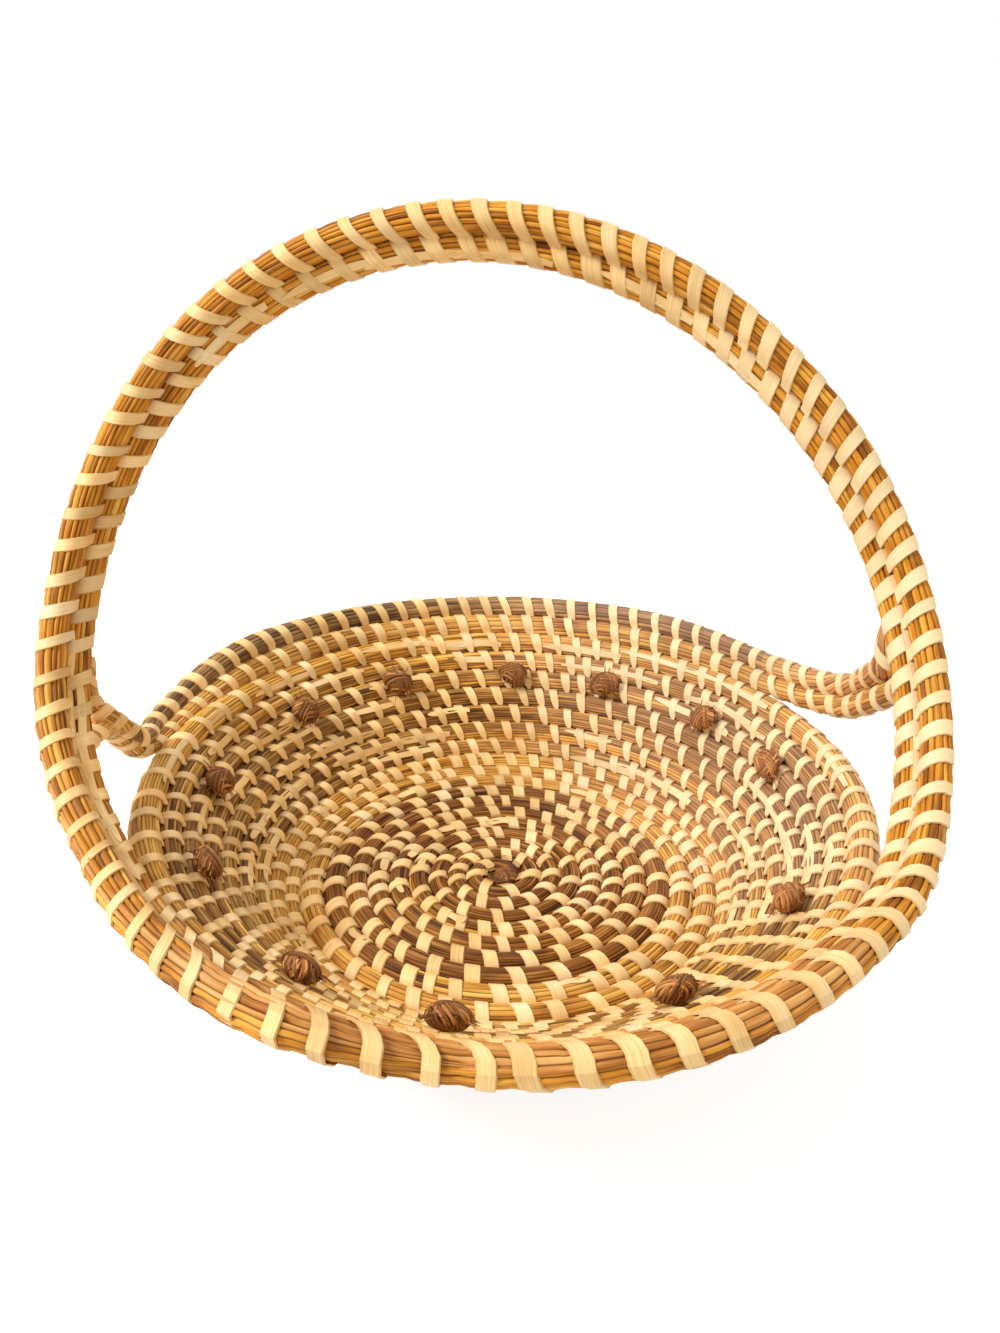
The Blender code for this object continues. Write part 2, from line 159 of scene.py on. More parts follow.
FULLER = 0.0006         # the grass swells past the drawn thickness, so that the rows press together
FLOOR_CLEARANCE = 0.0005
STITCH_SLANT = 0.34     # how far a stitch leans along the row, of the bundle's radius on either side


def unit(vectors):
    """Vectors scaled to length one."""
    return vectors / np.linalg.norm(vectors, axis=-1, keepdims=True)


def smooth_step(value, low, high):
    """Rise from 0 at low to 1 at high, level at both."""
    x = np.clip((value - low) / (high - low), 0.0, 1.0)
    return x * x * (3.0 - 2.0 * x)


def spiral_axis(turn):
    """Axis of the bundle at a count of turns: its bearing grows with the turns, and its distance from
    the middle with the turns times the pitch, flat for the base, then along the slope of the wall."""
    turn = np.asarray(turn, float)
    bearing = 2.0 * math.pi * turn - math.pi / 2.0
    flat = np.minimum(turn, BASE_TURNS)
    climbed = np.maximum(turn - BASE_TURNS, 0.0)
    front, back = np.maximum(-np.sin(bearing), 0.0) ** 2, np.maximum(np.sin(bearing), 0.0) ** 2
    slope = WALL_SLOPE - FRONT_FLARE * front + SIDE_RISE * np.cos(bearing) ** 2
    run = (WALL_PITCH * climbed + WALL_PITCH_GROWTH * climbed ** 2 / 2.0) * (1.0 + BACK_STRETCH_SHARE * back)
    out = START_RADIUS + BASE_PITCH * flat + BASE_PITCH_GROWTH * flat ** 2 / 2.0 + run * np.cos(slope)
    thick = BASE_PITCH + BASE_PITCH_GROWTH * flat - BUNDLE_GAP
    height = (0.5 - FLAT_SHARE) * thick + run * np.sin(slope)
    drift = CENTRE_DRIFT * (turn - STILL_TURN)
    return np.stack([drift + out * np.cos(bearing), out * np.sin(bearing), height], axis=-1)


def spiral_radius(turn):
    """Half the space between a turn and the nearer of its two neighbours, less the gap."""
    turn = np.asarray(turn, float)
    here = spiral_axis(turn)
    outer = np.linalg.norm(spiral_axis(turn + 1.0) - here, axis=-1)
    inner = np.linalg.norm(here - spiral_axis(np.maximum(turn - 1.0, 0.0)), axis=-1)
    inner = np.where(turn < START_TURN + 1.0, outer, inner)
    return (np.minimum(outer, inner) - BUNDLE_GAP) / 2.0


def frame_between(centre, ahead, behind, before, radius, radius_before):
    """Frame of a bundle at many places: along it, away from the bundle it is sewn to, and its worked
    face, which is away crossed with along, with both radii and the distance between the two axes."""
    along = unit(ahead - behind)
    away = centre - before
    away = away - (away * along).sum(-1, keepdims=True) * along
    apart = np.linalg.norm(away, axis=-1)
    away = unit(away)
    return {"centre": centre, "along": along, "away": away, "face": np.cross(away, along),
            "radius": radius, "apart": apart, "radius_before": radius_before}


def packed_radius(turn):
    """The spiral's radius as it is packed: fuller where the base turns up into the wall."""
    return spiral_radius(turn) + 0.0009 * smooth_step(turn, 9.2, 9.6) * smooth_step(-turn, -11.5, -11.1)


def row_frame(turn):
    """Frame of the spiral at a turn. Its first lap is sewn to the knot in the middle."""
    turn = np.asarray(turn, float)
    centre = spiral_axis(turn)
    first_lap = turn < START_TURN + 1.0
    middle = centre * (0.0, 0.0, 1.0)
    before = np.where(first_lap[:, None], middle, spiral_axis(turn - 1.0))
    radius = packed_radius(turn) * (0.4 + 0.6 * smooth_step(turn, -0.45, -0.2))
    gap = np.linalg.norm(centre - before, axis=1)
    radius_before = np.where(first_lap, gap - radius, packed_radius(np.maximum(turn - 1.0, START_TURN)))
    return frame_between(centre, spiral_axis(turn + 1e-3), spiral_axis(turn - 1e-3), before,
                         radius, radius_before)


def piece_from(name, points, faces, uv, material, slot, crease=60.0, **numbers):
    """Mesh object from points, faces and one UV pair for each face corner, smooth but for creases. The
    numbers, such as the tone, are given at each point, and the material reads them."""
    mesh = bpy.data.meshes.new(name)
    mesh.from_pydata(points.tolist(), [], faces)
    mesh.uv_layers.new(name="surface").data.foreach_set("uv", np.asarray(uv, np.float32).ravel())
    for key, values in numbers.items():
        layer = mesh.attributes.new(key, "FLOAT", "POINT")
        layer.data.foreach_set("value", np.asarray(values, np.float32).ravel())
    mesh.shade_smooth()
    mesh.set_sharp_from_angle(angle=math.radians(crease))
    mesh.materials.append(material)
    piece = bpy.data.objects.new(name, mesh)
    bpy.context.scene.collection.objects.link(piece)
    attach(piece, "root")
    return piece


def bundle_surface(at, length, grip, stems=STEMS, groove=GROOVE_SHARE, level=None):
    """Surface of a bundle: at each ring, four points a stem lie at the radius, less the groove where two
    stems meet, less a pinch where a stitch grips, and the stems turn slowly round as the length grows.
    Returns points, faces and corner UVs, in stems round and metres along."""
    rings, around = len(length), 4 * stems
    stem = np.random.default_rng(11)
    phase, wave = stem.uniform(0.0, 2.0 * math.pi, stems), stem.uniform(35.0, 90.0, stems)
    swell = np.repeat(0.035 * np.sin(length[:, None] * wave + phase), 4, axis=1)
    profile = np.tile([1.0, 0.22, 0.0, 0.22], stems)[None]
    edges = np.concatenate([[0.0], np.cumsum(stem.uniform(0.6, 1.4, stems))])
    angle = np.interp(np.arange(around) / 4.0, np.arange(stems + 1), edges) * 2.0 * math.pi / edges[-1]
    angle = angle + STEM_TWIST * length[:, None]
    reach = (at["radius"] + FULLER)[:, None] * (1.0 + swell - groove * profile - 0.085 * grip[:, None])
    points = (at["centre"][:, None] + (reach * np.cos(angle))[..., None] * at["away"][:, None]
              + (reach * np.sin(angle))[..., None] * at["face"][:, None])
    if level is not None:
        points[..., 2] = np.maximum(points[..., 2], level)
    i, j = np.meshgrid(np.arange(rings - 1), np.arange(around), indexing="ij")
    k = (j + 1) % around
    quads = np.stack([i * around + j, (i + 1) * around + j, (i + 1) * around + k, i * around + k], -1)
    u = np.stack([j, j, j + 1, j + 1], -1) / 4.0
    v = length[np.stack([i, i + 1, i + 1, i], -1)]
    ends = points[[0, -1]].mean(axis=1)
    j = np.arange(around)
    k = (j + 1) % around
    first = np.stack([np.full(around, rings * around), j, k], -1)
    last = np.stack([np.full(around, rings * around + 1), (rings - 1) * around + k, (rings - 1) * around + j], -1)
    uv = np.concatenate([np.stack([u, v], -1).reshape(-1, 2), np.zeros((6 * around, 2))])
    faces = quads.reshape(-1, 4).tolist() + first.tolist() + last.tolist()
    return np.concatenate([points.reshape(-1, 3), ends]), faces, uv


def screen(red, green, blue):
    """A colour as it is seen on a screen, from 0 to 255, as the amounts of light it stands for."""
    seen = np.array([red, green, blue]) / 255.0
    return (*np.where(seen <= 0.04045, seen / 12.92, ((seen + 0.055) / 1.055) ** 2.4).tolist(), 1.0)


def lit_side_mask(tree):
    """From nought to one towards the back right, where the light falls most on the basket: the mask of painted light
    that pales the colours there.
    """
    place = put(tree, "TexCoord").outputs["Object"]
    side = put(tree, "VectorMath", {0: place, 1: (1.0, 0.5, 0.0)}, operation="DOT_PRODUCT").outputs["Value"]
    return put(tree, "MapRange", {0: side, 1: 0.03, 2: 0.11}, interpolation_type="SMOOTHSTEP").outputs[0]


def grass(name, dark, body, light, dark_after=None, body_after=None, light_after=None, gloss=0.20,
          painted_light_share=1.0):
    """Dried stems. Each stem has its own colour, which drifts along it, with fine streaks, a dark line of
    painted shade where it meets the next, for the shadow in the groove between them, and a tone that is
    partly the maker's pick of stems from place to place and partly painted light and shade by side. As
    over grows from 0 to 1 the stems take, one by one, the colours of the bundle that comes after."""
    material = bpy.data.materials.new(name)
    material.use_nodes = True
    tree = material.node_tree
    shader = tree.nodes["Principled BSDF"]
    place = put(tree, "SeparateXYZ", {0: put(tree, "UVMap", uv_map="surface").outputs[0]})
    u, v = place.outputs[0], place.outputs[1]
    stem = put(tree, "Math", {0: u}, operation="FLOOR").outputs[0]
    across = put(tree, "Math", {0: u}, operation="FRACT").outputs[0]

    def grain(across_scale, along_scale, source, detail, rough=0.5):
        """Noise stretched along the stems."""
        x = put(tree, "Math", {0: source, 1: across_scale}, operation="MULTIPLY").outputs[0]
        y = put(tree, "Math", {0: v, 1: along_scale}, operation="MULTIPLY").outputs[0]
        spot = put(tree, "CombineXYZ", {0: x, 1: y})
        return put(tree, "TexNoise", {"Vector": spot.outputs[0], "Scale": 1.0, "Detail": detail,
                                      "Roughness": rough}).outputs[0]

    drift = grain(7.31, 26.0, stem, 2.0)
    streak = grain(3.3, 45.0, u, 4.0, 0.7)
    mixed = put(tree, "Math", {0: streak, 1: 0.42}, operation="MULTIPLY").outputs[0]
    mixed = put(tree, "Math", {0: drift, 1: 0.62, 2: mixed}, operation="MULTIPLY_ADD").outputs[0]

    def colours(three):
        """Ramp from the dark stems through the usual ones to the light ones."""
        ramp = put(tree, "ValToRGB", {0: mixed})
        elements = ramp.color_ramp.elements
        elements[0].position, elements[0].color = 0.40, screen(*three[0])
        elements[1].position, elements[1].color = 0.66, screen(*three[2])
        middle = elements.new(0.52)
        middle.color = screen(*three[1])
        return ramp.outputs[0]

    colour = colours((dark, body, light))
    tone = put(tree, "Attribute", attribute_name="tone").outputs["Fac"]
    if dark_after is not None:
        chance = grain(3.17, 1.5, stem, 0.0)
        over = put(tree, "Attribute", attribute_name="over").outputs["Fac"]
        over = put(tree, "Math", {0: over, 1: chance}, operation="GREATER_THAN").outputs[0]
        after = colours((dark_after, body_after, light_after))
        colour = put(tree, "MixRGB", {0: over, 1: colour, 2: after}).outputs[0]
    colour = put(tree, "VectorMath", {0: colour, "Scale": tone}, operation="SCALE").outputs[0]
    # painted light: towards the back right the stems pale to (228, 178, 150), as where the light falls on them
    pale = put(tree, "Math", {0: lit_side_mask(tree), 1: 0.25 * painted_light_share}, operation="MULTIPLY").outputs[0]
    colour = put(tree, "MixRGB", {0: pale, 1: colour, 2: screen(228, 178, 150)}).outputs[0]
    # painted shade: each stem darkens towards its two edges, to (46, 24, 4), as the groove between stems would lie in
    # shadow
    middle = put(tree, "Math", {0: across, 1: 0.5}, operation="SUBTRACT").outputs[0]
    middle = put(tree, "Math", {0: middle}, operation="ABSOLUTE").outputs[0]
    groove_shade = put(tree, "MapRange", {0: middle, 1: 0.34, 2: 0.5, 3: 0.0, 4: 0.64}, interpolation_type="SMOOTHSTEP")
    colour = put(tree, "MixRGB", {0: groove_shade.outputs[0], 1: colour, 2: screen(46, 24, 4)}).outputs[0]
    tree.links.new(colour, shader.inputs["Base Color"])
    shine = put(tree, "MapRange", {0: streak, 1: 0.3, 2: 0.7, 3: 0.46, 4: 0.68})
    tree.links.new(shine.outputs[0], shader.inputs["Roughness"])
    shader.inputs["Specular IOR Level"].default_value = gloss
    bump = put(tree, "Bump", {"Height": streak, "Strength": 0.55, "Distance": 0.0004})
    tree.links.new(bump.outputs[0], shader.inputs["Normal"])
    return material


turns = np.arange(-0.5, RIM_TURN + 1e-9, 1.0 / 480.0)
steps = np.linalg.norm(np.diff(spiral_axis(turns), axis=0), axis=1)
lengths = np.concatenate([[0.0], np.cumsum(steps)])


def sewing():
    """Turns at which the bundle is sewn down. The foot of each stitch goes halfway between the heads of
    two stitches of the row before, drawn a little towards the even spacing, and where the rows have
    grown so far that the gap is too wide for that, one more goes in."""
    per_turn = np.gradient(lengths, turns)
    leaned = 2.0 * STITCH_SLANT * spiral_radius(turns) / per_turn
    places = list(np.arange(0.30, START_TURN + 1.0, 0.155))
    below = 0
    while places[-1] < RIM_TURN:
        wanted = float(np.interp(places[-1], (3.0, 9.0, 10.5, 17.0), (0.0105, 0.0116, 0.0100, 0.0112)))
        wanted = max(min(wanted, 0.006 + 0.0011 * places[-1] * 2.0), 0.0070)
        here = float(np.interp(places[-1], turns, per_turn))
        middle = 0.5 * (places[below] + places[below + 1]) + 1.0 + float(np.interp(places[-1], turns, leaned))
        room = (middle - places[-1]) * here / wanted
        if room > 1.36:
            places.append(0.5 * (places[-1] + middle))
        elif room < 0.5:
            below += 1
        else:
            places.append(0.72 * middle + 0.28 * (places[-1] + wanted / here))
            below += 1
    return np.array(places)


sewn = sewing()

BROWN = ((56, 28, 5), (132, 79, 26), (190, 134, 64))
GOLD = ((146, 92, 22), (216, 157, 62), (244, 203, 112))
WEATHERED = ((80, 45, 10), (160, 111, 50), (220, 176, 102))
ORANGE = ((126, 68, 6), (212, 138, 34), (242, 188, 86))
STRIPED = ((150, 88, 20), (202, 137, 66), (238, 188, 118))
brown_needles = grass("brown_needles", *BROWN, *GOLD)
golden_grass = grass("golden_grass", (126, 76, 16), (204, 144, 54), (238, 192, 100), *WEATHERED, gloss=0.28)
weathered_grass = grass("weathered_grass", *WEATHERED, *GOLD)
rim_grass = grass("rim_grass", *GOLD, *STRIPED, gloss=0.28)


def at_points(values, stems):
    """Values of the rings of a bundle, given to its points: four a stem on each ring, and two ends."""
    values = np.broadcast_to(values.reshape(len(values), -1), (len(values), 4 * stems))
    return np.concatenate([values.ravel(), values[[0, -1], 0]])


def wound_row(name, first, last, material, slot, shade, level=None, blend=0.0):
    """The stretch of the spiral from one turn to another, as one piece that stands for its node. Shade
    gives the tone at a turn and bearing. A share of the stems, the blend, has the colours of the next
    stretch all along, and near the end the others come over to them."""
    start, stop = np.interp([first, last], turns, lengths)
    length = np.linspace(start, stop, max(int((stop - start) / RING_STEP), 4))
    turn = np.interp(length, lengths, turns)
    grip = (0.5 + 0.5 * np.cos(2.0 * math.pi * np.interp(turn, sewn, np.arange(len(sewn))))) ** 4
    points, faces, uv = bundle_surface(row_frame(turn), length, grip, level=level)
    bearing = 2.0 * math.pi * turn - math.pi / 2.0
    tone, over = shade(turn, bearing), np.maximum(smooth_step(turn, last - 0.12, last), blend)
    piece = piece_from(name + "_grass", points, faces, uv, material, slot,
                       tone=at_points(tone, STEMS), over=at_points(over, STEMS))
    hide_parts(name)


def even(turn, bearing):
    """A tone that drifts slowly, and is a little lighter at the right, as painted light on the lit side."""
    return 1.0 + 0.07 * np.sin(11.5 * turn) + 0.06 * np.cos(bearing)


wound_row("base_coil_brown", -0.45, 8, brown_needles, "brown_bundle", even, level=FLOOR_CLEARANCE, blend=0.24)
wound_row("base_coil_gold", 8, BASE_TURNS, golden_grass, "golden_bundle", even, level=FLOOR_CLEARANCE)

# The wall: the same bundle climbs outwards row by row. Its lower rows are weathered grass, with painted
# shade at the left and painted light, paler and pinker, at the right, and its top row is golden again.
def drift_and_side_light(turn, bearing):
    """A tone that is darker at the left, as painted shade, lighter at the back right, as painted light, and drifts
    from row to row.
    """
    # painted shade at the back left and front right and painted light at the back, over a real drift from row to row
    return (1.0 + 0.10 * np.sin(7.3 * turn) + 0.08 * np.sin(23.0 * turn)
            - 0.16 * np.maximum(np.cos(bearing - math.radians(150.0)), 0.0) ** 2
            - 0.12 * np.maximum(np.cos(bearing + math.radians(10.0)), 0.0) ** 2
            + 0.28 * np.maximum(np.cos(bearing - math.radians(78.0)), 0.0) ** 4)


wound_row("corner_coil_gold", BASE_TURNS, 11, golden_grass, "golden_bundle", even, level=FLOOR_CLEARANCE)
wound_row("wall_coil_lower", 11, 15, weathered_grass, "weathered_bundle", drift_and_side_light, blend=0.40)
wound_row("wall_coil_knot_row", 15, 16, weathered_grass, "weathered_bundle", drift_and_side_light, blend=0.40)
wound_row("wall_coil_upper", 16, 17, weathered_grass, "weathered_bundle", drift_and_side_light, blend=0.40)
wound_row("wall_coil_gold", 17, 18, rim_grass, "golden_bundle", even)

# The handle: at the front the bundle runs on along the rim, then leaves the basket at the right, goes
# over in a hoop and comes down at the left. It goes round twice, the second pass sewn to the outside
# of the first, and its tail is thinned out behind the left leg.
HANDLE_REACH = 0.144
HANDLE_RISE = 0.2365
HANDLE_PITCH = 0.0089
FOCUS_DEPTH = 0.080
PAIR_LEAN_SHARE = 0.55
ON_RIM_SHARE = 0.12
OFF_RIM_SHARE = 0.21
TAIL_SHARE = 0.12
TAIL_LENGTH_SHARE = 0.07
GUIDE_SHARES = (
    (0.0075, -1.00, 0.225), (0.34, -0.95, 0.225), (0.68, -0.78, 0.22), (0.85, -0.52, 0.255),
    (0.94, -0.26, 0.385), (0.89, -0.08, 0.575), (0.68, 0.02, 0.78), (0.32, 0.09, 0.945),
    (-0.10, 0.15, 1.00), (-0.54, 0.17, 0.93), (-0.85, 0.14, 0.76), (-1.01, 0.01, 0.54),
    (-1.00, -0.23, 0.345), (-0.82, -0.49, 0.255), (-0.60, -0.76, 0.22), (-0.37, -0.92, 0.23),
)


def guide_line(share):
    """Closed uniform cubic B-spline through the handle's guide points, and its direction."""
    points = np.array(GUIDE_SHARES) * (HANDLE_REACH, HANDLE_REACH, HANDLE_RISE)
    place = np.mod(np.atleast_1d(share), 1.0) * len(points)
    knot = np.floor(place).astype(int)
    w = (place - knot)[:, None]
    four = [points[(knot + step) % len(points)] for step in (-1, 0, 1, 2)]
    weights = ((1 - w) ** 3, 3 * w ** 3 - 6 * w ** 2 + 4, -3 * w ** 3 + 3 * w ** 2 + 3 * w + 1, w ** 3)
    slopes = (-(1 - w) ** 2, 3 * w ** 2 - 4 * w, -3 * w ** 2 + 2 * w + 1, w ** 2)
    return (sum(a * b for a, b in zip(four, weights)) / 6.0,
            unit(sum(a * b for a, b in zip(four, slopes))))


def inner_side(line, along):
    """Unit vectors from the outer pass to the inner one: towards a point under the base, square to the
    handle, and leaning forwards with height."""
    inward = np.array([0.0, 0.0, -FOCUS_DEPTH]) - line
    inward = unit(inward - (inward * along).sum(1, keepdims=True) * along)
    height = smooth_step(line[:, 2:3], 0.25 * HANDLE_RISE, 0.6 * HANDLE_RISE)
    return unit(inward + PAIR_LEAN_SHARE * height * np.cross(inward, along))


def rim_place(loops):
    """Turn of the spiral that the handle's bundle lies on, and how far it is on the rim, 1 to 0."""
    share = np.mod(loops, 1.0)
    line, along = guide_line(share)
    free = line + inner_side(line, along) * (HANDLE_PITCH * (1.0 - loops))[:, None]
    bearing = np.arctan2(free[:, 1], free[:, 0])
    slip = np.mod(bearing / (2.0 * math.pi) + 0.25 - share + 0.5, 1.0) - 0.5
    from_front = np.minimum(share, 1.0 - share)
    return free, RIM_TURN + loops + slip, 1.0 - smooth_step(from_front, ON_RIM_SHARE, OFF_RIM_SHARE)


def handle_pass(loops):
    """Axis and radius of one pass, from 0 loops at the rim to 2: the spiral where it lies on the rim,
    and the guide line, moved inwards by a pitch for the first pass, where it is free."""
    free, turn, on_rim = rim_place(loops)
    axis = free + on_rim[:, None] * (spiral_axis(turn) - free)
    thin = (HANDLE_PITCH - BUNDLE_GAP) / 2.0
    return axis, thin + on_rim * (spiral_radius(turn) - thin)


def handle_pair(loops):
    """A pass no thicker than the space to the other one allows, with its tail thinned towards it."""
    axis, radius = handle_pass(loops)
    beside, _ = handle_pass(np.where(loops < 1.0, loops + 1.0, loops - 1.0))
    space = np.linalg.norm(beside - axis, axis=1)
    radius = np.minimum(radius, (space - BUNDLE_GAP) / 2.0)
    tail = smooth_step(loops, 2.0 - TAIL_LENGTH_SHARE, 2.0)
    tapered = radius * (1.0 - (1.0 - TAIL_SHARE) * tail)
    sunk = radius - tapered + tail * (2.0 * tapered + 2.0 * FULLER)
    return axis + unit(beside - axis) * sunk[:, None], tapered


def handle_frame(loops):
    """Frame of the handle's bundle. The second pass is sewn to the first. The first is sewn to the top
    row while it lies on the rim, and faces the second where it is free."""
    loops = np.asarray(loops, float)
    centre, radius = handle_pair(loops)
    ahead, _ = handle_pair(np.minimum(loops + 2e-3, 2.0))
    behind, _ = handle_pair(np.maximum(loops - 2e-3, 0.0))
    if loops.max() > 1.0 + 1e-6:
        before, radius_before = handle_pair(loops - 1.0)
        return frame_between(centre, ahead, behind, before, radius, radius_before)
    outer, _ = handle_pair(np.minimum(loops + 1.0, 2.0))
    _, turn, on_rim = rim_place(loops)
    row = spiral_axis(turn - 1.0)
    on_rim = smooth_step(on_rim, 0.85, 1.0)[:, None]
    before = on_rim * row + (1.0 - on_rim) * (2.0 * centre - outer)
    return frame_between(centre, ahead, behind, before, radius, radius)


# length and stitches along each pass: the stitches are wide apart along the front rim, and closer
# together where the bundle is free, with a whole number of them in each pass
loop_table = np.linspace(0.0, 2.0, 2401)
handle_axis, _ = handle_pair(loop_table)
steps = np.linalg.norm(np.diff(handle_axis, axis=0), axis=1)
handle_lengths = lengths[-1] + np.concatenate([[0.0], np.cumsum(steps)])
spacing = np.interp(np.mod(loop_table[:-1], 1.0), (0.0, 0.12, 0.19, 0.46, 0.56, 0.82, 0.88, 1.0),
                    (0.0125, 0.0125, 0.0098, 0.0097, 0.0110, 0.0114, 0.0118, 0.0125))
handle_sewn = np.concatenate([[0.0], np.cumsum(steps / spacing)])
whole_counts = handle_sewn[[0, 1200, 2400]]
handle_sewn = np.interp(handle_sewn, whole_counts, np.round(whole_counts))
handle_grass = grass("handle_grass", *ORANGE, *STRIPED, gloss=0.28, painted_light_share=0.0)


def handle_piece(name, first, last):
    """One pass of the handle as one piece, its grooves a little deeper than the wall's. The left leg is
    striped, and along the front the inner side, which faces up, is painted paler than the outer, as
    painted light on the lit top and painted shade below."""
    start, stop = np.interp([first, last], loop_table, handle_lengths)
    length = np.linspace(start, stop, int((stop - start) / RING_STEP))
    loops = np.clip(np.interp(length, handle_lengths, loop_table), first + 1e-5, last)
    grip = (0.5 + 0.5 * np.cos(2.0 * math.pi * np.interp(loops, loop_table, handle_sewn))) ** 4
    points, faces, uv = bundle_surface(handle_frame(loops), length, grip, stems=HANDLE_STEMS, groove=0.15)
    share = np.mod(loops, 1.0)
    # painted shade: the tone drops a little over the top left and the left leg, the less lit side, with a small
    # ripple along it
    tone = 1.0 - 0.08 * smooth_step(share, 0.55, 0.75) + 0.05 * np.sin(90.0 * share)
    front = smooth_step(-share, -0.17, -0.10) + smooth_step(share, 0.83, 0.90)
    leg = 0.40 * smooth_step(share, 0.55, 0.72) * (1.0 - front)
    around = np.arange(4 * HANDLE_STEMS) * math.pi / (2 * HANDLE_STEMS) + STEM_TWIST * length[:, None]
    # painted light and shade: along the front the stems on the upward, inner side take the paler striped colours, and
    # those below keep the orange
    over = leg[:, None] + front[:, None] * (0.32 + 0.45 * smooth_step(np.sin(around), -0.35, 0.25))
    piece = piece_from(name + "_grass", points, faces, uv, handle_grass, "handle_bundle",
                       tone=at_points(tone, HANDLE_STEMS), over=at_points(over, HANDLE_STEMS))
    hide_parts(name)


handle_piece("handle_coil_inner", 0.0, 1.0)
handle_piece("handle_coil_outer", 1.0, 2.0)

# Two strands along the back rim, one on the other, which close the bowl behind the handle. Each thins
# out at its ends, leaves the rim, and is tucked in behind the handle's inner pass.
STRAND_BEARINGS = (34.0, 174.0)
STRAND_TAPER_BEARINGS = 30.0
STRAND_END_SHARES = (0.84, 0.66)
STRAND_ROLL = math.radians(36.0)
ROLL_BEARINGS = 30.0
STRAND_POINTS = 20
FREE_SHARES = {
    "back_strand_lower": (((0.883, 0.27, 0.260), (0.915, 0.14, 0.290), (0.920, 0.03, 0.336)),
                          ((-0.927, 0.021, 0.232), (-0.955, -0.042, 0.274), (-0.958, -0.097, 0.320))),
    "back_strand_upper": (((0.883, 0.29, 0.291), (0.915, 0.17, 0.320), (0.920, 0.07, 0.367)),
                          ((-0.913, 0.042, 0.248), (-0.934, -0.021, 0.276), (-0.942, -0.070, 0.312))),
}
# shares of the handle's loop where each end meets the inner pass, how far its axis stands off the skin
# there, as shares of its radius, and how far round behind it that is
LEG_MEETINGS = {
    "back_strand_lower": (((0.266, 0.266), (0.757, 0.748)), (1.6, 0.0), math.radians(50.0)),
    "back_strand_upper": (((0.275, 0.284, 0.293), (0.739, 0.731, 0.722)), (2.3, 0.7, 0.2), math.radians(30.0)),
}


def seated_rim(degrees, lap, under, under_radius):
    """Axis and radius of a strand along the back rim: it sits on the row under it, thinner at its ends,
    and rolls over the wall's outer side at the left."""
    place = RIM_TURN + lap + np.mod(degrees / 360.0 + 0.25, 1.0)
    at_right, at_left = STRAND_END_SHARES
    fullness = (smooth_step(degrees - degrees[0], 0.0, STRAND_TAPER_BEARINGS) * (1.0 - at_right) + at_right,
                smooth_step(degrees[-1] - degrees, 0.0, STRAND_TAPER_BEARINGS) * (1.0 - at_left) + at_left)
    radius = spiral_radius(place) * np.minimum(*fullness)
    rise = unit(spiral_axis(place) - under)
    roll = STRAND_ROLL * smooth_step(degrees, degrees[-1] - ROLL_BEARINGS, degrees[-1])[:, None]
    around = unit(np.gradient(under, axis=0))
    rolled = rise * np.cos(roll) + np.cross(around, rise) * np.sin(roll)
    return under + rolled * (under_radius + radius + BUNDLE_GAP)[:, None], radius


def leg_places(shares, stand_off, tuck, radius):
    """Places of a strand's end beside the handle's inner pass, turned round behind it by the tuck."""
    shares = np.array(shares)
    axis, thick = handle_pair(shares)
    along = unit(handle_pair(shares + 0.014)[0] - handle_pair(shares - 0.014)[0])
    inward = inner_side(axis, along)
    side = inward * math.cos(tuck) + np.cross(inward, along) * math.sin(tuck)
    return axis + side * (thick + BUNDLE_GAP + radius * np.array(stand_off))[:, None]


def through(route, sizes, per_span):
    """Catmull-Rom curve through the places of a route: each span is the cubic that leaves and meets its
    places along the line between their neighbours. The sizes go over evenly."""
    padded = np.vstack([2 * route[0] - route[1], route, 2 * route[-1] - route[-2]])
    place = np.linspace(0.0, len(route) - 1.0, per_span * (len(route) - 1) + 1)
    span = np.minimum(place.astype(int), len(route) - 2)
    t = (place - span)[:, None]
    a, b, c, d = (padded[span + step] for step in range(4))
    curve = 0.5 * (2 * b + (c - a) * t + (2 * a - 5 * b + 4 * c - d) * t ** 2 + (3 * b - a - 3 * c + d) * t ** 3)
    return curve, np.interp(place, np.arange(len(route)), sizes)


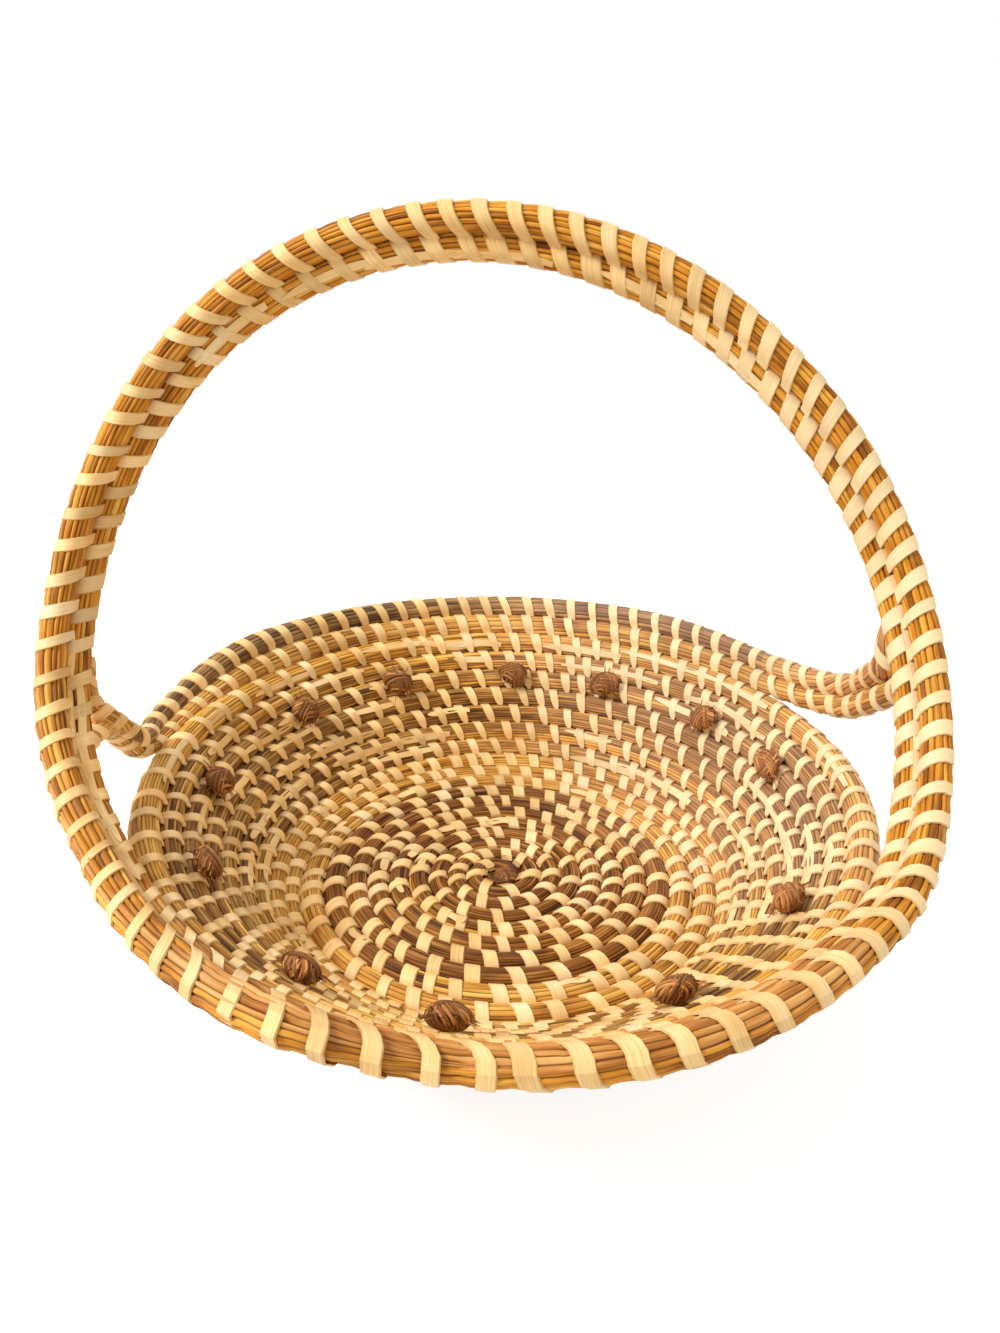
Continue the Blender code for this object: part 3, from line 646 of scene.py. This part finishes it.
degrees = np.linspace(*STRAND_BEARINGS, STRAND_POINTS)
top_row = RIM_TURN - 1 + np.mod(degrees / 360.0 + 0.25, 1.0)
under, under_radius = spiral_axis(top_row), spiral_radius(top_row)
strand_gold = grass("strand_gold", (140, 84, 34), (210, 152, 70), (238, 196, 112), gloss=0.28, painted_light_share=0.4)
strand_dark = grass("strand_dark", (72, 50, 30), (142, 106, 66), (200, 162, 108),
                    (140, 86, 38), (206, 148, 72), (240, 200, 124))
strand_frames = {}
for lap, (name, material, slot) in enumerate((("back_strand_lower", strand_gold, "golden_bundle"),
                                              ("back_strand_upper", strand_dark, "dark_rim_bundle"))):
    rim, radius = seated_rim(degrees, lap, under, under_radius)
    shares, stand_off, tuck = LEG_MEETINGS[name]
    free_right, free_left = (np.array(free) * (HANDLE_REACH, HANDLE_REACH, HANDLE_RISE) for free in FREE_SHARES[name])
    meets_right = leg_places(shares[0], stand_off, tuck, radius[0])
    meets_left = leg_places(shares[1], stand_off, tuck, radius[-1])
    route = np.vstack([meets_right[::-1], free_right[::-1], rim, free_left, meets_left])
    sizes = np.concatenate([np.full(len(route) - len(rim) - len(free_left) - len(meets_left), radius[0]), radius,
                            np.full(len(free_left) + len(meets_left), radius[-1])])
    curve, thick = through(route, sizes, 8)
    for _ in range(30):
        curve[1:-1] = 0.25 * curve[:-2] + 0.5 * curve[1:-1] + 0.25 * curve[2:]
    # the row under it, for the side that its stitches pierce: where the strand is free it is its own underside
    close_by = np.linspace(0.0, STRAND_POINTS - 1.0, 400)
    close_by = np.stack([np.interp(close_by, np.arange(STRAND_POINTS), column) for column in under.T], -1)
    nearest = np.linalg.norm(curve[:, None] - close_by[None], axis=2).argmin(1)
    length = np.concatenate([[0.0], np.cumsum(np.linalg.norm(np.diff(curve, axis=0), axis=1))])
    down = close_by[nearest] - curve
    down = unit(down + np.array([0.0, 0.0, -0.004]))
    ahead = np.vstack([curve[1:], 2 * curve[-1] - curve[-2]])
    behind = np.vstack([2 * curve[0] - curve[1], curve[:-1]])
    at = frame_between(curve, ahead, behind, curve + down * (2.0 * thick + BUNDLE_GAP)[:, None], thick, thick)
    lifted = np.linalg.norm(close_by[nearest] - curve, axis=1)
    even_length = np.linspace(0.0, length[-1], int(length[-1] / RING_STEP))
    closeness = np.interp(even_length, (0.0, 0.035, 0.05, 0.11, 0.16, length[-1] - 0.045, length[-1] - 0.03),
                          (0.0125, 0.0150, 0.0120, 0.0114, 0.0112, 0.0100, 0.0068))
    counted = np.concatenate([[0.1], 0.1 + np.cumsum(np.diff(even_length) / closeness[1:])])
    strand_frames[name] = (at, length, lifted, np.interp(np.arange(1, int(counted[-1] + 0.8)), counted, even_length))
    fine = {key: np.stack([np.interp(even_length, length, column) for column in np.atleast_2d(value.T)], -1)
            if value.ndim > 1 else np.interp(even_length, length, value) for key, value in at.items()}
    for key in ("along", "away", "face"):
        fine[key] = unit(fine[key])
    grip = (0.5 + 0.5 * np.cos(2.0 * math.pi * counted)) ** 4
    fine["radius"] = fine["radius"] * (0.45 + 0.55 * smooth_step(even_length, 0.0, 0.008))
    points, faces, uv = bundle_surface(fine, even_length, grip, stems=14)
    tone = 1.0 + 0.10 * np.sin(even_length * 31.0)
    over = smooth_step(-even_length, -0.14, -0.09) + smooth_step(even_length, length[-1] - 0.045, length[-1] - 0.030)
    piece = piece_from(name + "_grass", points, faces, uv, material, slot,
                       tone=at_points(tone, 14), over=at_points(over, 14))
    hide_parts(name)
    under, under_radius = rim, radius

# The stitches: strips split from palmetto leaf, pale and flat. Each goes round the new row, through the
# row before it, and steps on behind. On the base they lie flat from row to row with square ends, and in
# the wall they narrow to a point that bites into the top of the row below.
STRIP_THICKNESS = 0.00042
FRONT_ANGLES = (138.0, 116.0, 94.0, 72.0, 48.0, 20.0)
BACK_ANGLES = (-14.0, -52.0, -96.0, -138.0)
UNDER_ANGLE = -52.0
ACROSS = np.array([-1.0, -0.86, 0.86, 1.0])


def stitch_bands(at, width, slant, pitch, foot, seed, level=None, taper=0.55, whole=False):
    """Points of closed flat bands, one for each place of a frame, with two edges pressed in and a flat
    top between them. A band is carried round the bundle from its foot, at angles in degrees round the
    row before, over the worked face, round the far side and back under to the same row. It leans along
    the row in front by the slant times the radius, and behind it steps on by the pitch. A whole band is
    a ring round the bundle alone. Where the frame has a stretch, its section is an oval, blunt at the
    ends, longer by that much away from the row before."""
    dice = np.random.default_rng(seed)
    count = len(at["radius"])
    radius = (at["radius"] + FULLER)[:, None]
    before = (at["radius_before"] + FULLER)[:, None]
    stretch = at.get("stretch", np.ones(count))[:, None]
    if whole:
        angle = np.radians(np.linspace(184.0, -184.0, 15))
        low, deep, narrow = np.zeros(15, bool), np.ones(15), np.ones(15)
    else:
        angle = np.radians([foot[0], *foot, *FRONT_ANGLES, *BACK_ANGLES, UNDER_ANGLE, UNDER_ANGLE])
        low = np.array([True] * (1 + len(foot)) + [False] * 10 + [True] * 2)
        deep = np.array([0.8] + [1.0] * (len(angle) - 2) + [0.8])
        loose = [1.3, 1.0] + [0.4] * (len(foot) - 1) + [0.35, 0.12, 0, 0, 0, 0, 0.05, 0.1, 0.1, 0.1, 0.6, 1.0]
        narrow = 1.0 - (1.0 - taper) * np.array(loose)
    reach = np.where(low, before, radius) * deep
    x = np.where(low, reach * np.cos(angle) - at["apart"][:, None], reach * np.cos(angle) * stretch)
    blunt = np.where(low, 1.0, 1.0 - 0.42 * (stretch - 1.0))
    y = reach * np.sign(np.sin(angle)) * np.abs(np.sin(angle)) ** blunt * np.where(low, 1.0, 0.96 + 0.04 * stretch)
    lean = (slant + dice.normal(0.0, 0.05, (count, 1))) * radius
    position = np.minimum(x / (radius * stretch), 1.0)
    behind = lean + (pitch - 2.0 * lean) * (1.0 - position) / 2.0
    z = np.where((y < 0.0) & (not whole), behind, lean * position) + dice.normal(0.0, 0.035, (count, 1)) * pitch
    half = 0.5 * width * (1.0 + dice.normal(0.0, 0.08, (count, 1))) * narrow
    lift = np.array([-0.00012, STRIP_THICKNESS, STRIP_THICKNESS, -0.00012]) + dice.normal(0.0, 0.00004, (count, 1, 1))
    x = x[..., None] + np.cos(angle)[:, None] * lift
    y = y[..., None] + np.sin(angle)[:, None] * lift
    z = z[..., None] - half[..., None] * ACROSS
    points = (at["centre"][:, None, None] + x[..., None] * at["away"][:, None, None]
              + y[..., None] * at["face"][:, None, None] + z[..., None] * at["along"][:, None, None])
    if level is not None:
        points[..., 2] = np.maximum(points[..., 2], level)
    return points


def band_piece(name, points, material, slot, seed):
    """One mesh of many closed bands, each a grid of stations along by four points across."""
    count, stations = points.shape[:2]
    k, i, j = np.meshgrid(np.arange(count), np.arange(stations - 1), np.arange(4), indexing="ij")
    n = (j + 1) % 4
    first = (k * stations + i) * 4
    quads = np.stack([first + j, first + n, first + 4 + n, first + 4 + j], -1).reshape(-1, 4)
    base = np.arange(count)[:, None] * stations * 4
    ends = np.concatenate([base + [3, 2, 1, 0], base + (stations - 1) * 4 + np.arange(4)])
    dice = np.random.default_rng(seed)
    offset, tone = dice.uniform(0.0, 40.0, count), np.clip(dice.normal(1.0, 0.08, count), 0.8, 1.12)
    walked = np.linalg.norm(np.diff(points[:, :, 1:3].mean(2), axis=1), axis=-1)
    walked = np.concatenate([np.zeros((count, 1)), np.cumsum(walked, axis=1)], axis=1) + offset[:, None]
    u = np.stack([ACROSS[j], ACROSS[n], ACROSS[n], ACROSS[j]], -1).reshape(-1, 4)
    v = np.stack([walked[k, i], walked[k, i], walked[k, i + 1], walked[k, i + 1]], -1).reshape(-1, 4)
    uv = np.concatenate([np.stack([u, v], -1).reshape(-1, 2), np.zeros((len(ends) * 4, 2))])
    return piece_from(name, points.reshape(-1, 3), quads.tolist() + ends.tolist(), uv, material, slot, crease=33.0,
                      tone=np.repeat(tone, stations * 4))


def palmetto():
    """Split leaf: cream with fine fibres along it, straw-coloured patches and painted shade along its edges, where
    they turn down into the grass.
    """
    material = bpy.data.materials.new("palmetto_leaf")
    material.use_nodes = True
    tree = material.node_tree
    shader = tree.nodes["Principled BSDF"]
    place = put(tree, "UVMap", uv_map="surface").outputs[0]
    along = put(tree, "Mapping", {"Vector": place, "Scale": (5.0, 60.0, 1.0)}).outputs[0]
    fibre = put(tree, "TexNoise", {"Vector": along, "Scale": 1.0, "Detail": 4.0, "Roughness": 0.6}).outputs[0]
    body = put(tree, "TexCoord").outputs["Object"]
    patch = put(tree, "TexNoise", {"Vector": body, "Scale": 45.0, "Detail": 2.0}).outputs[0]
    mixed = put(tree, "Math", {0: patch, 1: 0.5}, operation="MULTIPLY").outputs[0]
    mixed = put(tree, "Math", {0: fibre, 1: 0.5, 2: mixed}, operation="MULTIPLY_ADD").outputs[0]
    ramp = put(tree, "ValToRGB", {0: mixed})
    elements = ramp.color_ramp.elements
    elements[0].position, elements[0].color = 0.32, screen(211, 162, 94)
    elements[1].position, elements[1].color = 0.68, screen(246, 221, 180)
    elements.new(0.50).color = screen(238, 200, 136)
    tone = put(tree, "Attribute", attribute_name="tone").outputs["Fac"]
    colour = put(tree, "VectorMath", {0: ramp.outputs[0], "Scale": tone}, operation="SCALE").outputs[0]
    # painted light: towards the back right the strips pale to (252, 238, 200), as where the light falls on them
    painted_light_share = put(tree, "Math", {0: lit_side_mask(tree), 1: 0.5}, operation="MULTIPLY").outputs[0]
    colour = put(tree, "MixRGB", {0: painted_light_share, 1: colour, 2: screen(252, 238, 200)}).outputs[0]
    # painted shade: the strip darkens towards both edges, to (176, 128, 68), as the shadow at its edges
    side = put(tree, "Math", {0: put(tree, "SeparateXYZ", {0: place}).outputs[0]}, operation="ABSOLUTE").outputs[0]
    edge_shade = put(tree, "MapRange", {0: side, 1: 0.78, 2: 1.0, 3: 0.0, 4: 0.55})
    colour = put(tree, "MixRGB", {0: edge_shade.outputs[0], 1: colour, 2: screen(176, 128, 68)}).outputs[0]
    tree.links.new(colour, shader.inputs["Base Color"])
    shader.inputs["Roughness"].default_value = 0.5
    shader.inputs["Specular IOR Level"].default_value = 0.36
    bump = put(tree, "Bump", {"Height": fibre, "Strength": 0.35, "Distance": 0.0003})
    tree.links.new(bump.outputs[0], shader.inputs["Normal"])
    return material


palmetto_leaf = palmetto()


def sewn_row(name, first, last, widths, foot, seed, level=None, taper=0.45):
    """The stitches of the spiral from one turn to another."""
    turn = sewn[(sewn >= first) & (sewn < last)]
    pitch = np.gradient(np.interp(turn, turns, lengths))[:, None]
    width = np.interp(turn, (first, last), widths)[:, None]
    points = stitch_bands(row_frame(turn), width, STITCH_SLANT, pitch, (foot,), seed, level, taper)
    band_piece(name, points, palmetto_leaf, "palmetto_strip", seed)


sewn_row("stitches_base", START_TURN, BASE_TURNS, (0.0040, 0.0055), 24.0, 1, level=0.0001, taper=0.98)
sewn_row("stitches_corner", BASE_TURNS, 11, (0.0052, 0.0047), 30.0, 2, level=0.0001, taper=0.85)
sewn_row("stitches_wall_lower", 11, 15, (0.0042, 0.0044), 38.0, 3)
sewn_row("stitches_wall_upper", 15, 17, (0.0045, 0.0045), 38.0, 4)
sewn_row("stitches_wall_top", 17, 18, (0.0044, 0.0044), 38.0, 5)


def both_passes(loops):
    """Frame of an oval round both passes: its middle lies between their far sides, seen from the first
    pass, and the row before it is the top row of the wall."""
    at, tail = handle_frame(loops), handle_frame(loops + 1.0)
    reach = (tail["apart"] + tail["radius"] - at["radius"]) / 2.0
    return dict(at, centre=at["centre"] + at["away"] * reach[:, None], apart=at["apart"] + reach,
                stretch=1.0 + reach / (at["radius"] + FULLER))


def handle_stitches(name, first, last, seed):
    """The stitches of one pass of the handle. Where the first pass is free, each is a whole ring, and
    near the tail of the second they go round both passes."""
    low, high = np.interp([first, last], loop_table, handle_sewn)
    number = np.arange(round(low) + (first < 1.0), round(high))
    loops = np.interp(number, handle_sewn, loop_table)
    pitch = np.interp(loops, loop_table, np.append(spacing, spacing[-1]))[:, None]
    width = np.interp(np.mod(loops, 1.0), (0.0, 0.12, 0.19, 0.32, 0.46, 0.56, 0.82, 0.88, 1.0),
                      (0.0054, 0.0054, 0.0047, 0.0048, 0.0051, 0.0044, 0.0041, 0.0046, 0.0054))[:, None]
    whole = (rim_place(loops)[2] <= 0.9) & (first < 1.0)
    tail = loops - first > 0.895
    for part, chosen in (("", ~whole & ~tail), ("_rings", whole), ("_tail", tail & (first >= 1.0))):
        if chosen.any():
            at = both_passes(loops[chosen] - 1.0) if part == "_tail" else handle_frame(loops[chosen])
            slant = np.interp(loops[chosen] - first, (0.80, 0.88), (0.55, 1.35))[:, None]
            bands = stitch_bands(at, width[chosen] * (1.18 if part == "_rings" else 1.0), slant, pitch[chosen],
                                 (40.0,), seed, taper=0.85, whole=part == "_rings")
            band_piece(name + part, bands, palmetto_leaf, "palmetto_strip", seed)


handle_stitches("stitches_handle_inner", 0.0, 1.0, 6)
handle_stitches("stitches_handle_outer", 1.0, 2.0, 7)

for seed, (name, (at, length, lifted, places)) in enumerate(strand_frames.items(), 8):
    some = {key: np.stack([np.interp(places, length, column) for column in value.T], -1)
            if value.ndim > 1 else np.interp(places, length, value) for key, value in at.items()}
    for key in ("along", "away", "face"):
        some[key] = unit(some[key])
    free = np.interp(places, length, lifted) > 2.0 * some["radius"] + 0.0030
    for part, chosen in (("", ~free), ("_rings", free)):
        few = {key: value[chosen] for key, value in some.items()}
        width = np.interp(places[chosen], (0.10, 0.20), (0.0048, 0.0045))[:, None]
        bands = stitch_bands(few, width, 0.7 if part else 0.3, 0.0100, (38.0,), seed, whole=bool(part))
        band_piece("stitches_" + name + part, bands, palmetto_leaf, "palmetto_strip", seed)

# The spliced ends: where a strip runs out, the next one is laid in along the row and sewn over, and
# its torn end stands up a little. On the handle's legs they fill the valley between the two passes.


def laid_strips(frames, along_share, angle, width, rise, curl, seed):
    """Closed flat bands laid lengthwise on a bundle, one for each row of places: the first end dives
    under a stitch, the last tears to a point and curls up off the grass."""
    dice = np.random.default_rng(seed)
    count, stations = along_share.shape
    at = {key: value.reshape(count, stations, *value.shape[1:]) for key, value in frames.items()}
    share = np.linspace(0.0, 1.0, stations)[None]
    turned = angle[:, None] + dice.normal(0.0, 0.08, (count, 1)) * np.sin(share * 5.0)
    lifted = rise + 0.00005 * np.sin(share * 9.0 + dice.uniform(0, 6, (count, 1))) + curl[:, None] * share ** 12
    lifted = lifted * smooth_step(share, 0.0, 0.12)
    out = np.cos(turned)[..., None] * at["away"] + np.sin(turned)[..., None] * at["face"]
    side = -np.sin(turned)[..., None] * at["away"] + np.cos(turned)[..., None] * at["face"]
    centre = at["centre"] + out * (at["radius"] + FULLER + lifted)[..., None]
    half = 0.5 * width[:, None] * (1.0 - 0.7 * share ** 8) * (0.75 + 0.25 * smooth_step(share, 0.0, 0.2))
    across = ACROSS[None, None, :, None] * half[..., None, None] * side[:, :, None]
    lift = np.array([0.0, 0.00016, 0.00016, 0.0])[None, None, :, None] * out[:, :, None]
    return centre[:, :, None] - across + lift


dice = np.random.default_rng(21)
starts = np.concatenate([dice.uniform(3.0, 11.0, 20), dice.integers(11, 18, 56) + dice.uniform(0.15, 0.78, 56),
                         [17.365, 17.43, 16.40]])
spans = np.concatenate([dice.uniform(0.007, 0.012, 20), dice.uniform(0.014, 0.040, 56), [0.052, 0.040, 0.050]])
spans = spans / np.interp(starts, turns, np.gradient(lengths, turns))
places = starts[:, None] + spans[:, None] * np.linspace(0.0, 1.0, 15)[None]
strips = laid_strips(row_frame(places.ravel()), places, np.radians(dice.uniform(74.0, 122.0, len(starts))),
                     dice.uniform(0.0024, 0.0034, len(starts)), -0.00008, dice.uniform(0.0, 0.0014, len(starts)), 22)
band_piece("spliced_strips", strips, palmetto_leaf, "palmetto_strip", 23)

for name, leg_starts, degrees_round, spread, broad in (
    ("right_valley", np.arange(0.155, 0.262, 0.021), 26.0, 4.0, 0.0034),
    ("left_valley", np.arange(0.715, 0.862, 0.021), 28.0, 6.0, 0.0034),
    ("left_inner", np.arange(0.735, 0.812, 0.023), 64.0, 8.0, 0.0026),
    ("left_outer", np.arange(1.725, 1.830, 0.025), 151.0, 5.0, 0.0026),
    ("top", np.array([0.385, 0.42, 0.47, 0.50, 0.53, 0.57]), 80.0, 22.0, 0.0032),
):
    places = leg_starts[:, None] + 0.034 * np.linspace(0.0, 1.0, 15)[None]
    number = len(leg_starts)
    strips = laid_strips(handle_frame(places.ravel()), places,
                         np.radians(degrees_round + dice.uniform(-spread, spread, number)),
                         broad * dice.uniform(0.85, 1.1, number), -0.00004, dice.uniform(0.0, 0.0010, number), 24)
    band_piece("spliced_strips_" + name, strips, palmetto_leaf, "palmetto_strip", 25)

# The knots: tufts of pine needles tied down on the sixth row of the wall, and one in the middle of the
# base. Each is a ball wound like yarn, in sheaves that cross, with loose ends at its foot.
KNOT_LENGTH = 0.0140
KNOT_WIDTH = 0.0115
KNOT_HEIGHT = 0.0082
KNOT_TURN = 15
KNOT_BEARINGS = (-153, -121, -98, -64, -33, 14, 38, 66, 89, 118, 144, 179)
START_KNOT_WIDTH = 0.0092
START_KNOT_HEIGHT = 0.0076
START_KNOT_PLACE = (0.0010, -0.0005)


def tubes_along(lines, thick, sides=5):
    """Round needles along many lines at once: at each station, points at equal angles round the line,
    from a side that stays square to it. The thickness is given at each station."""
    ahead = unit(np.gradient(lines, axis=1))
    side = unit(np.cross(ahead, np.array([0.13, 0.31, 0.94])) + 1e-9)
    other = np.cross(side, ahead)
    angle = np.arange(sides) * 2.0 * math.pi / sides
    return (lines[:, :, None] + thick[..., None, None]
            * (np.cos(angle)[:, None] * side[:, :, None] + np.sin(angle)[:, None] * other[:, :, None]))


def sheaf(axis, offsets, swell, thick, dice):
    """Needles side by side round a ball of radius one: each is a circle square to the axis, at one of
    the offsets along it, a little uneven. Returns lines and thicknesses, 20 stations each."""
    axis = unit(np.array(axis) + dice.normal(0.0, 0.20, 3))
    first = unit(np.cross(axis, np.array([0.02, 0.05, 1.0])))
    offset = (np.array(offsets) + dice.normal(0.0, 0.035, len(offsets)))[:, None]
    turn = np.linspace(0.0, 2.0 * math.pi, 20)[None] + dice.uniform(0.0, 0.6, offset.shape)
    wave = 1.0 + 0.05 * np.sin(2.0 * turn + dice.uniform(0.0, 6.0, offset.shape))
    girth = np.sqrt(np.maximum(1.0 - offset ** 2, 0.03)) * swell * wave
    lines = (offset[..., None] * swell * axis + (girth * np.cos(turn))[..., None] * first
             + (girth * np.sin(turn))[..., None] * np.cross(axis, first))
    return lines, thick * (1.0 + dice.normal(0.0, 0.10, offset.shape)) * np.ones((1, 20))


def knot_needles(size, dice):
    """Lines and thicknesses of a knot's needles, for a lump of size one way, another and up."""
    sheaves = [sheaf((0.1, 1.0, 0.1), np.linspace(-0.86, 0.86, 11), 1.0, 0.00058, dice),
               sheaf((0.85, 0.35, 0.30), np.linspace(-0.50, 0.40, 7), 1.06, 0.00050, dice),
               sheaf((-0.55, 0.62, 0.30), np.linspace(-0.28, 0.34, 5), 1.11, 0.00046, dice)]
    count = 20
    heading = dice.uniform(0.0, 2.0 * math.pi, (count, 1))
    heading = heading - 0.35 * np.sin(2.0 * heading)
    reach = np.linspace(0.45, 1.0, 20)[None] * dice.uniform(1.10, 1.50, (count, 1))
    drop = dice.uniform(0.0, 0.45, (count, 1)) - 0.62 * (reach - 0.5)
    ends = np.stack([np.cos(heading) * reach, np.sin(heading) * reach * (1.0 + 0.3 * reach), drop], -1)
    sheaves.append((ends, 0.00038 * np.linspace(1.0, 0.35, 20)[None] * np.ones((count, 1))))
    lines, thick = (np.concatenate(parts) for parts in zip(*sheaves))
    return lines * (0.5 * np.array(size) - 0.0010), thick


def knot_piece(name, place, along, out, size, material, seed, level=None):
    """One knot as one mesh of needles over a plain core, set on its carrier."""
    dice = np.random.default_rng(seed)
    tubes = tubes_along(*knot_needles(size, dice))
    count, stations, around = tubes.shape[:3]
    spin = dice.uniform(-0.5, 0.5)
    side = np.cross(out, along)
    along, side = along * math.cos(spin) + side * math.sin(spin), side * math.cos(spin) - along * math.sin(spin)
    k, i, j = np.meshgrid(np.arange(count), np.arange(stations - 1), np.arange(around), indexing="ij")
    n = (j + 1) % around
    first = (k * stations + i) * around
    quads = np.stack([first + j, first + around + j, first + around + n, first + n], -1).reshape(-1, 4)
    base = np.arange(count)[:, None] * stations * around
    ends = np.concatenate([base + np.arange(around), base + (stations - 1) * around + np.arange(around)[::-1]])
    level_of = 0.5 + 0.24 * np.cos(2.0 * math.pi * np.arange(around) / around)
    u = np.stack([level_of[j], level_of[j], level_of[n], level_of[n]], -1).reshape(-1, 4) + k.reshape(-1, 1)
    v = np.stack([i, i + 1, i + 1, i], -1).reshape(-1, 4) * size[0] / stations + k.reshape(-1, 1) * 0.37
    tall = np.linspace(0.0, math.pi, 9)[1:-1]
    wide = np.linspace(0.0, 2.0 * math.pi, 16, endpoint=False)
    core = np.stack([np.cos(tall)[:, None] + 0.0 * wide, np.sin(tall)[:, None] * np.cos(wide),
                     np.sin(tall)[:, None] * np.sin(wide)], -1) * (np.array(size) * 0.5 - 0.0011)
    offset = count * stations * around
    a, b = np.meshgrid(np.arange(6), np.arange(16), indexing="ij")
    c = (b + 1) % 16
    core_quads = offset + np.stack([a * 16 + b, (a + 1) * 16 + b, (a + 1) * 16 + c, a * 16 + c], -1).reshape(-1, 4)
    poles = [(offset + np.arange(16)).tolist(), (offset + 96 + np.arange(16)[::-1]).tolist()]
    uv = np.concatenate([np.stack([u, v], -1).reshape(-1, 2), np.full((ends.size, 2), 0.5),
                         np.full((core_quads.size + 32, 2), 0.5)])
    points = np.concatenate([tubes.reshape(-1, 3), core.reshape(-1, 3)]) @ np.stack([along, side, out]) + place
    if level is not None:
        points[:, 2] = np.maximum(points[:, 2], level)
    # painted shade and light: the plain core is at half tone, as the shade deep inside the knot, and the needles are
    # lighter the further right a knot stands, where the light falls
    tone = np.concatenate([np.repeat(np.clip(dice.normal(1.0, 0.16, count), 0.6, 1.4), stations * around),
                           np.full(7 * 16, 0.5)]) * (1.0 + 0.35 * max(0.0, float(place[0]) / 0.11))
    piece = piece_from(name + "_needles", points, quads.tolist() + ends.tolist() + core_quads.tolist() + poles,
                       uv, material, "pine_needle_knot", tone=tone)
    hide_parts(name)


needle_brown = grass("needle_brown", (70, 38, 10), (142, 88, 40), (206, 150, 88), gloss=0.26, painted_light_share=0.3)
size = (KNOT_LENGTH, KNOT_WIDTH, KNOT_HEIGHT)
for number, bearing in enumerate(sorted(KNOT_BEARINGS), 1):
    at = row_frame(np.array([KNOT_TURN + (bearing / 360.0 + 0.25) % 1.0]))
    out = at["face"][0]
    place = at["centre"][0] + out * (at["radius"][0] + 0.0003 + KNOT_HEIGHT / 2.0)
    knot_piece(f"pine_needle_knot_{number:02d}", place, at["along"][0], out, size, needle_brown, 30 + number)
knot_piece("start_knot", np.array([*START_KNOT_PLACE, 0.60 * START_KNOT_HEIGHT]), np.array([1.0, 0.0, 0.0]),
           np.array([0.0, 0.0, 1.0]), (START_KNOT_WIDTH + 0.001, START_KNOT_WIDTH + 0.001, START_KNOT_HEIGHT),
           needle_brown, 50, level=0.0002)
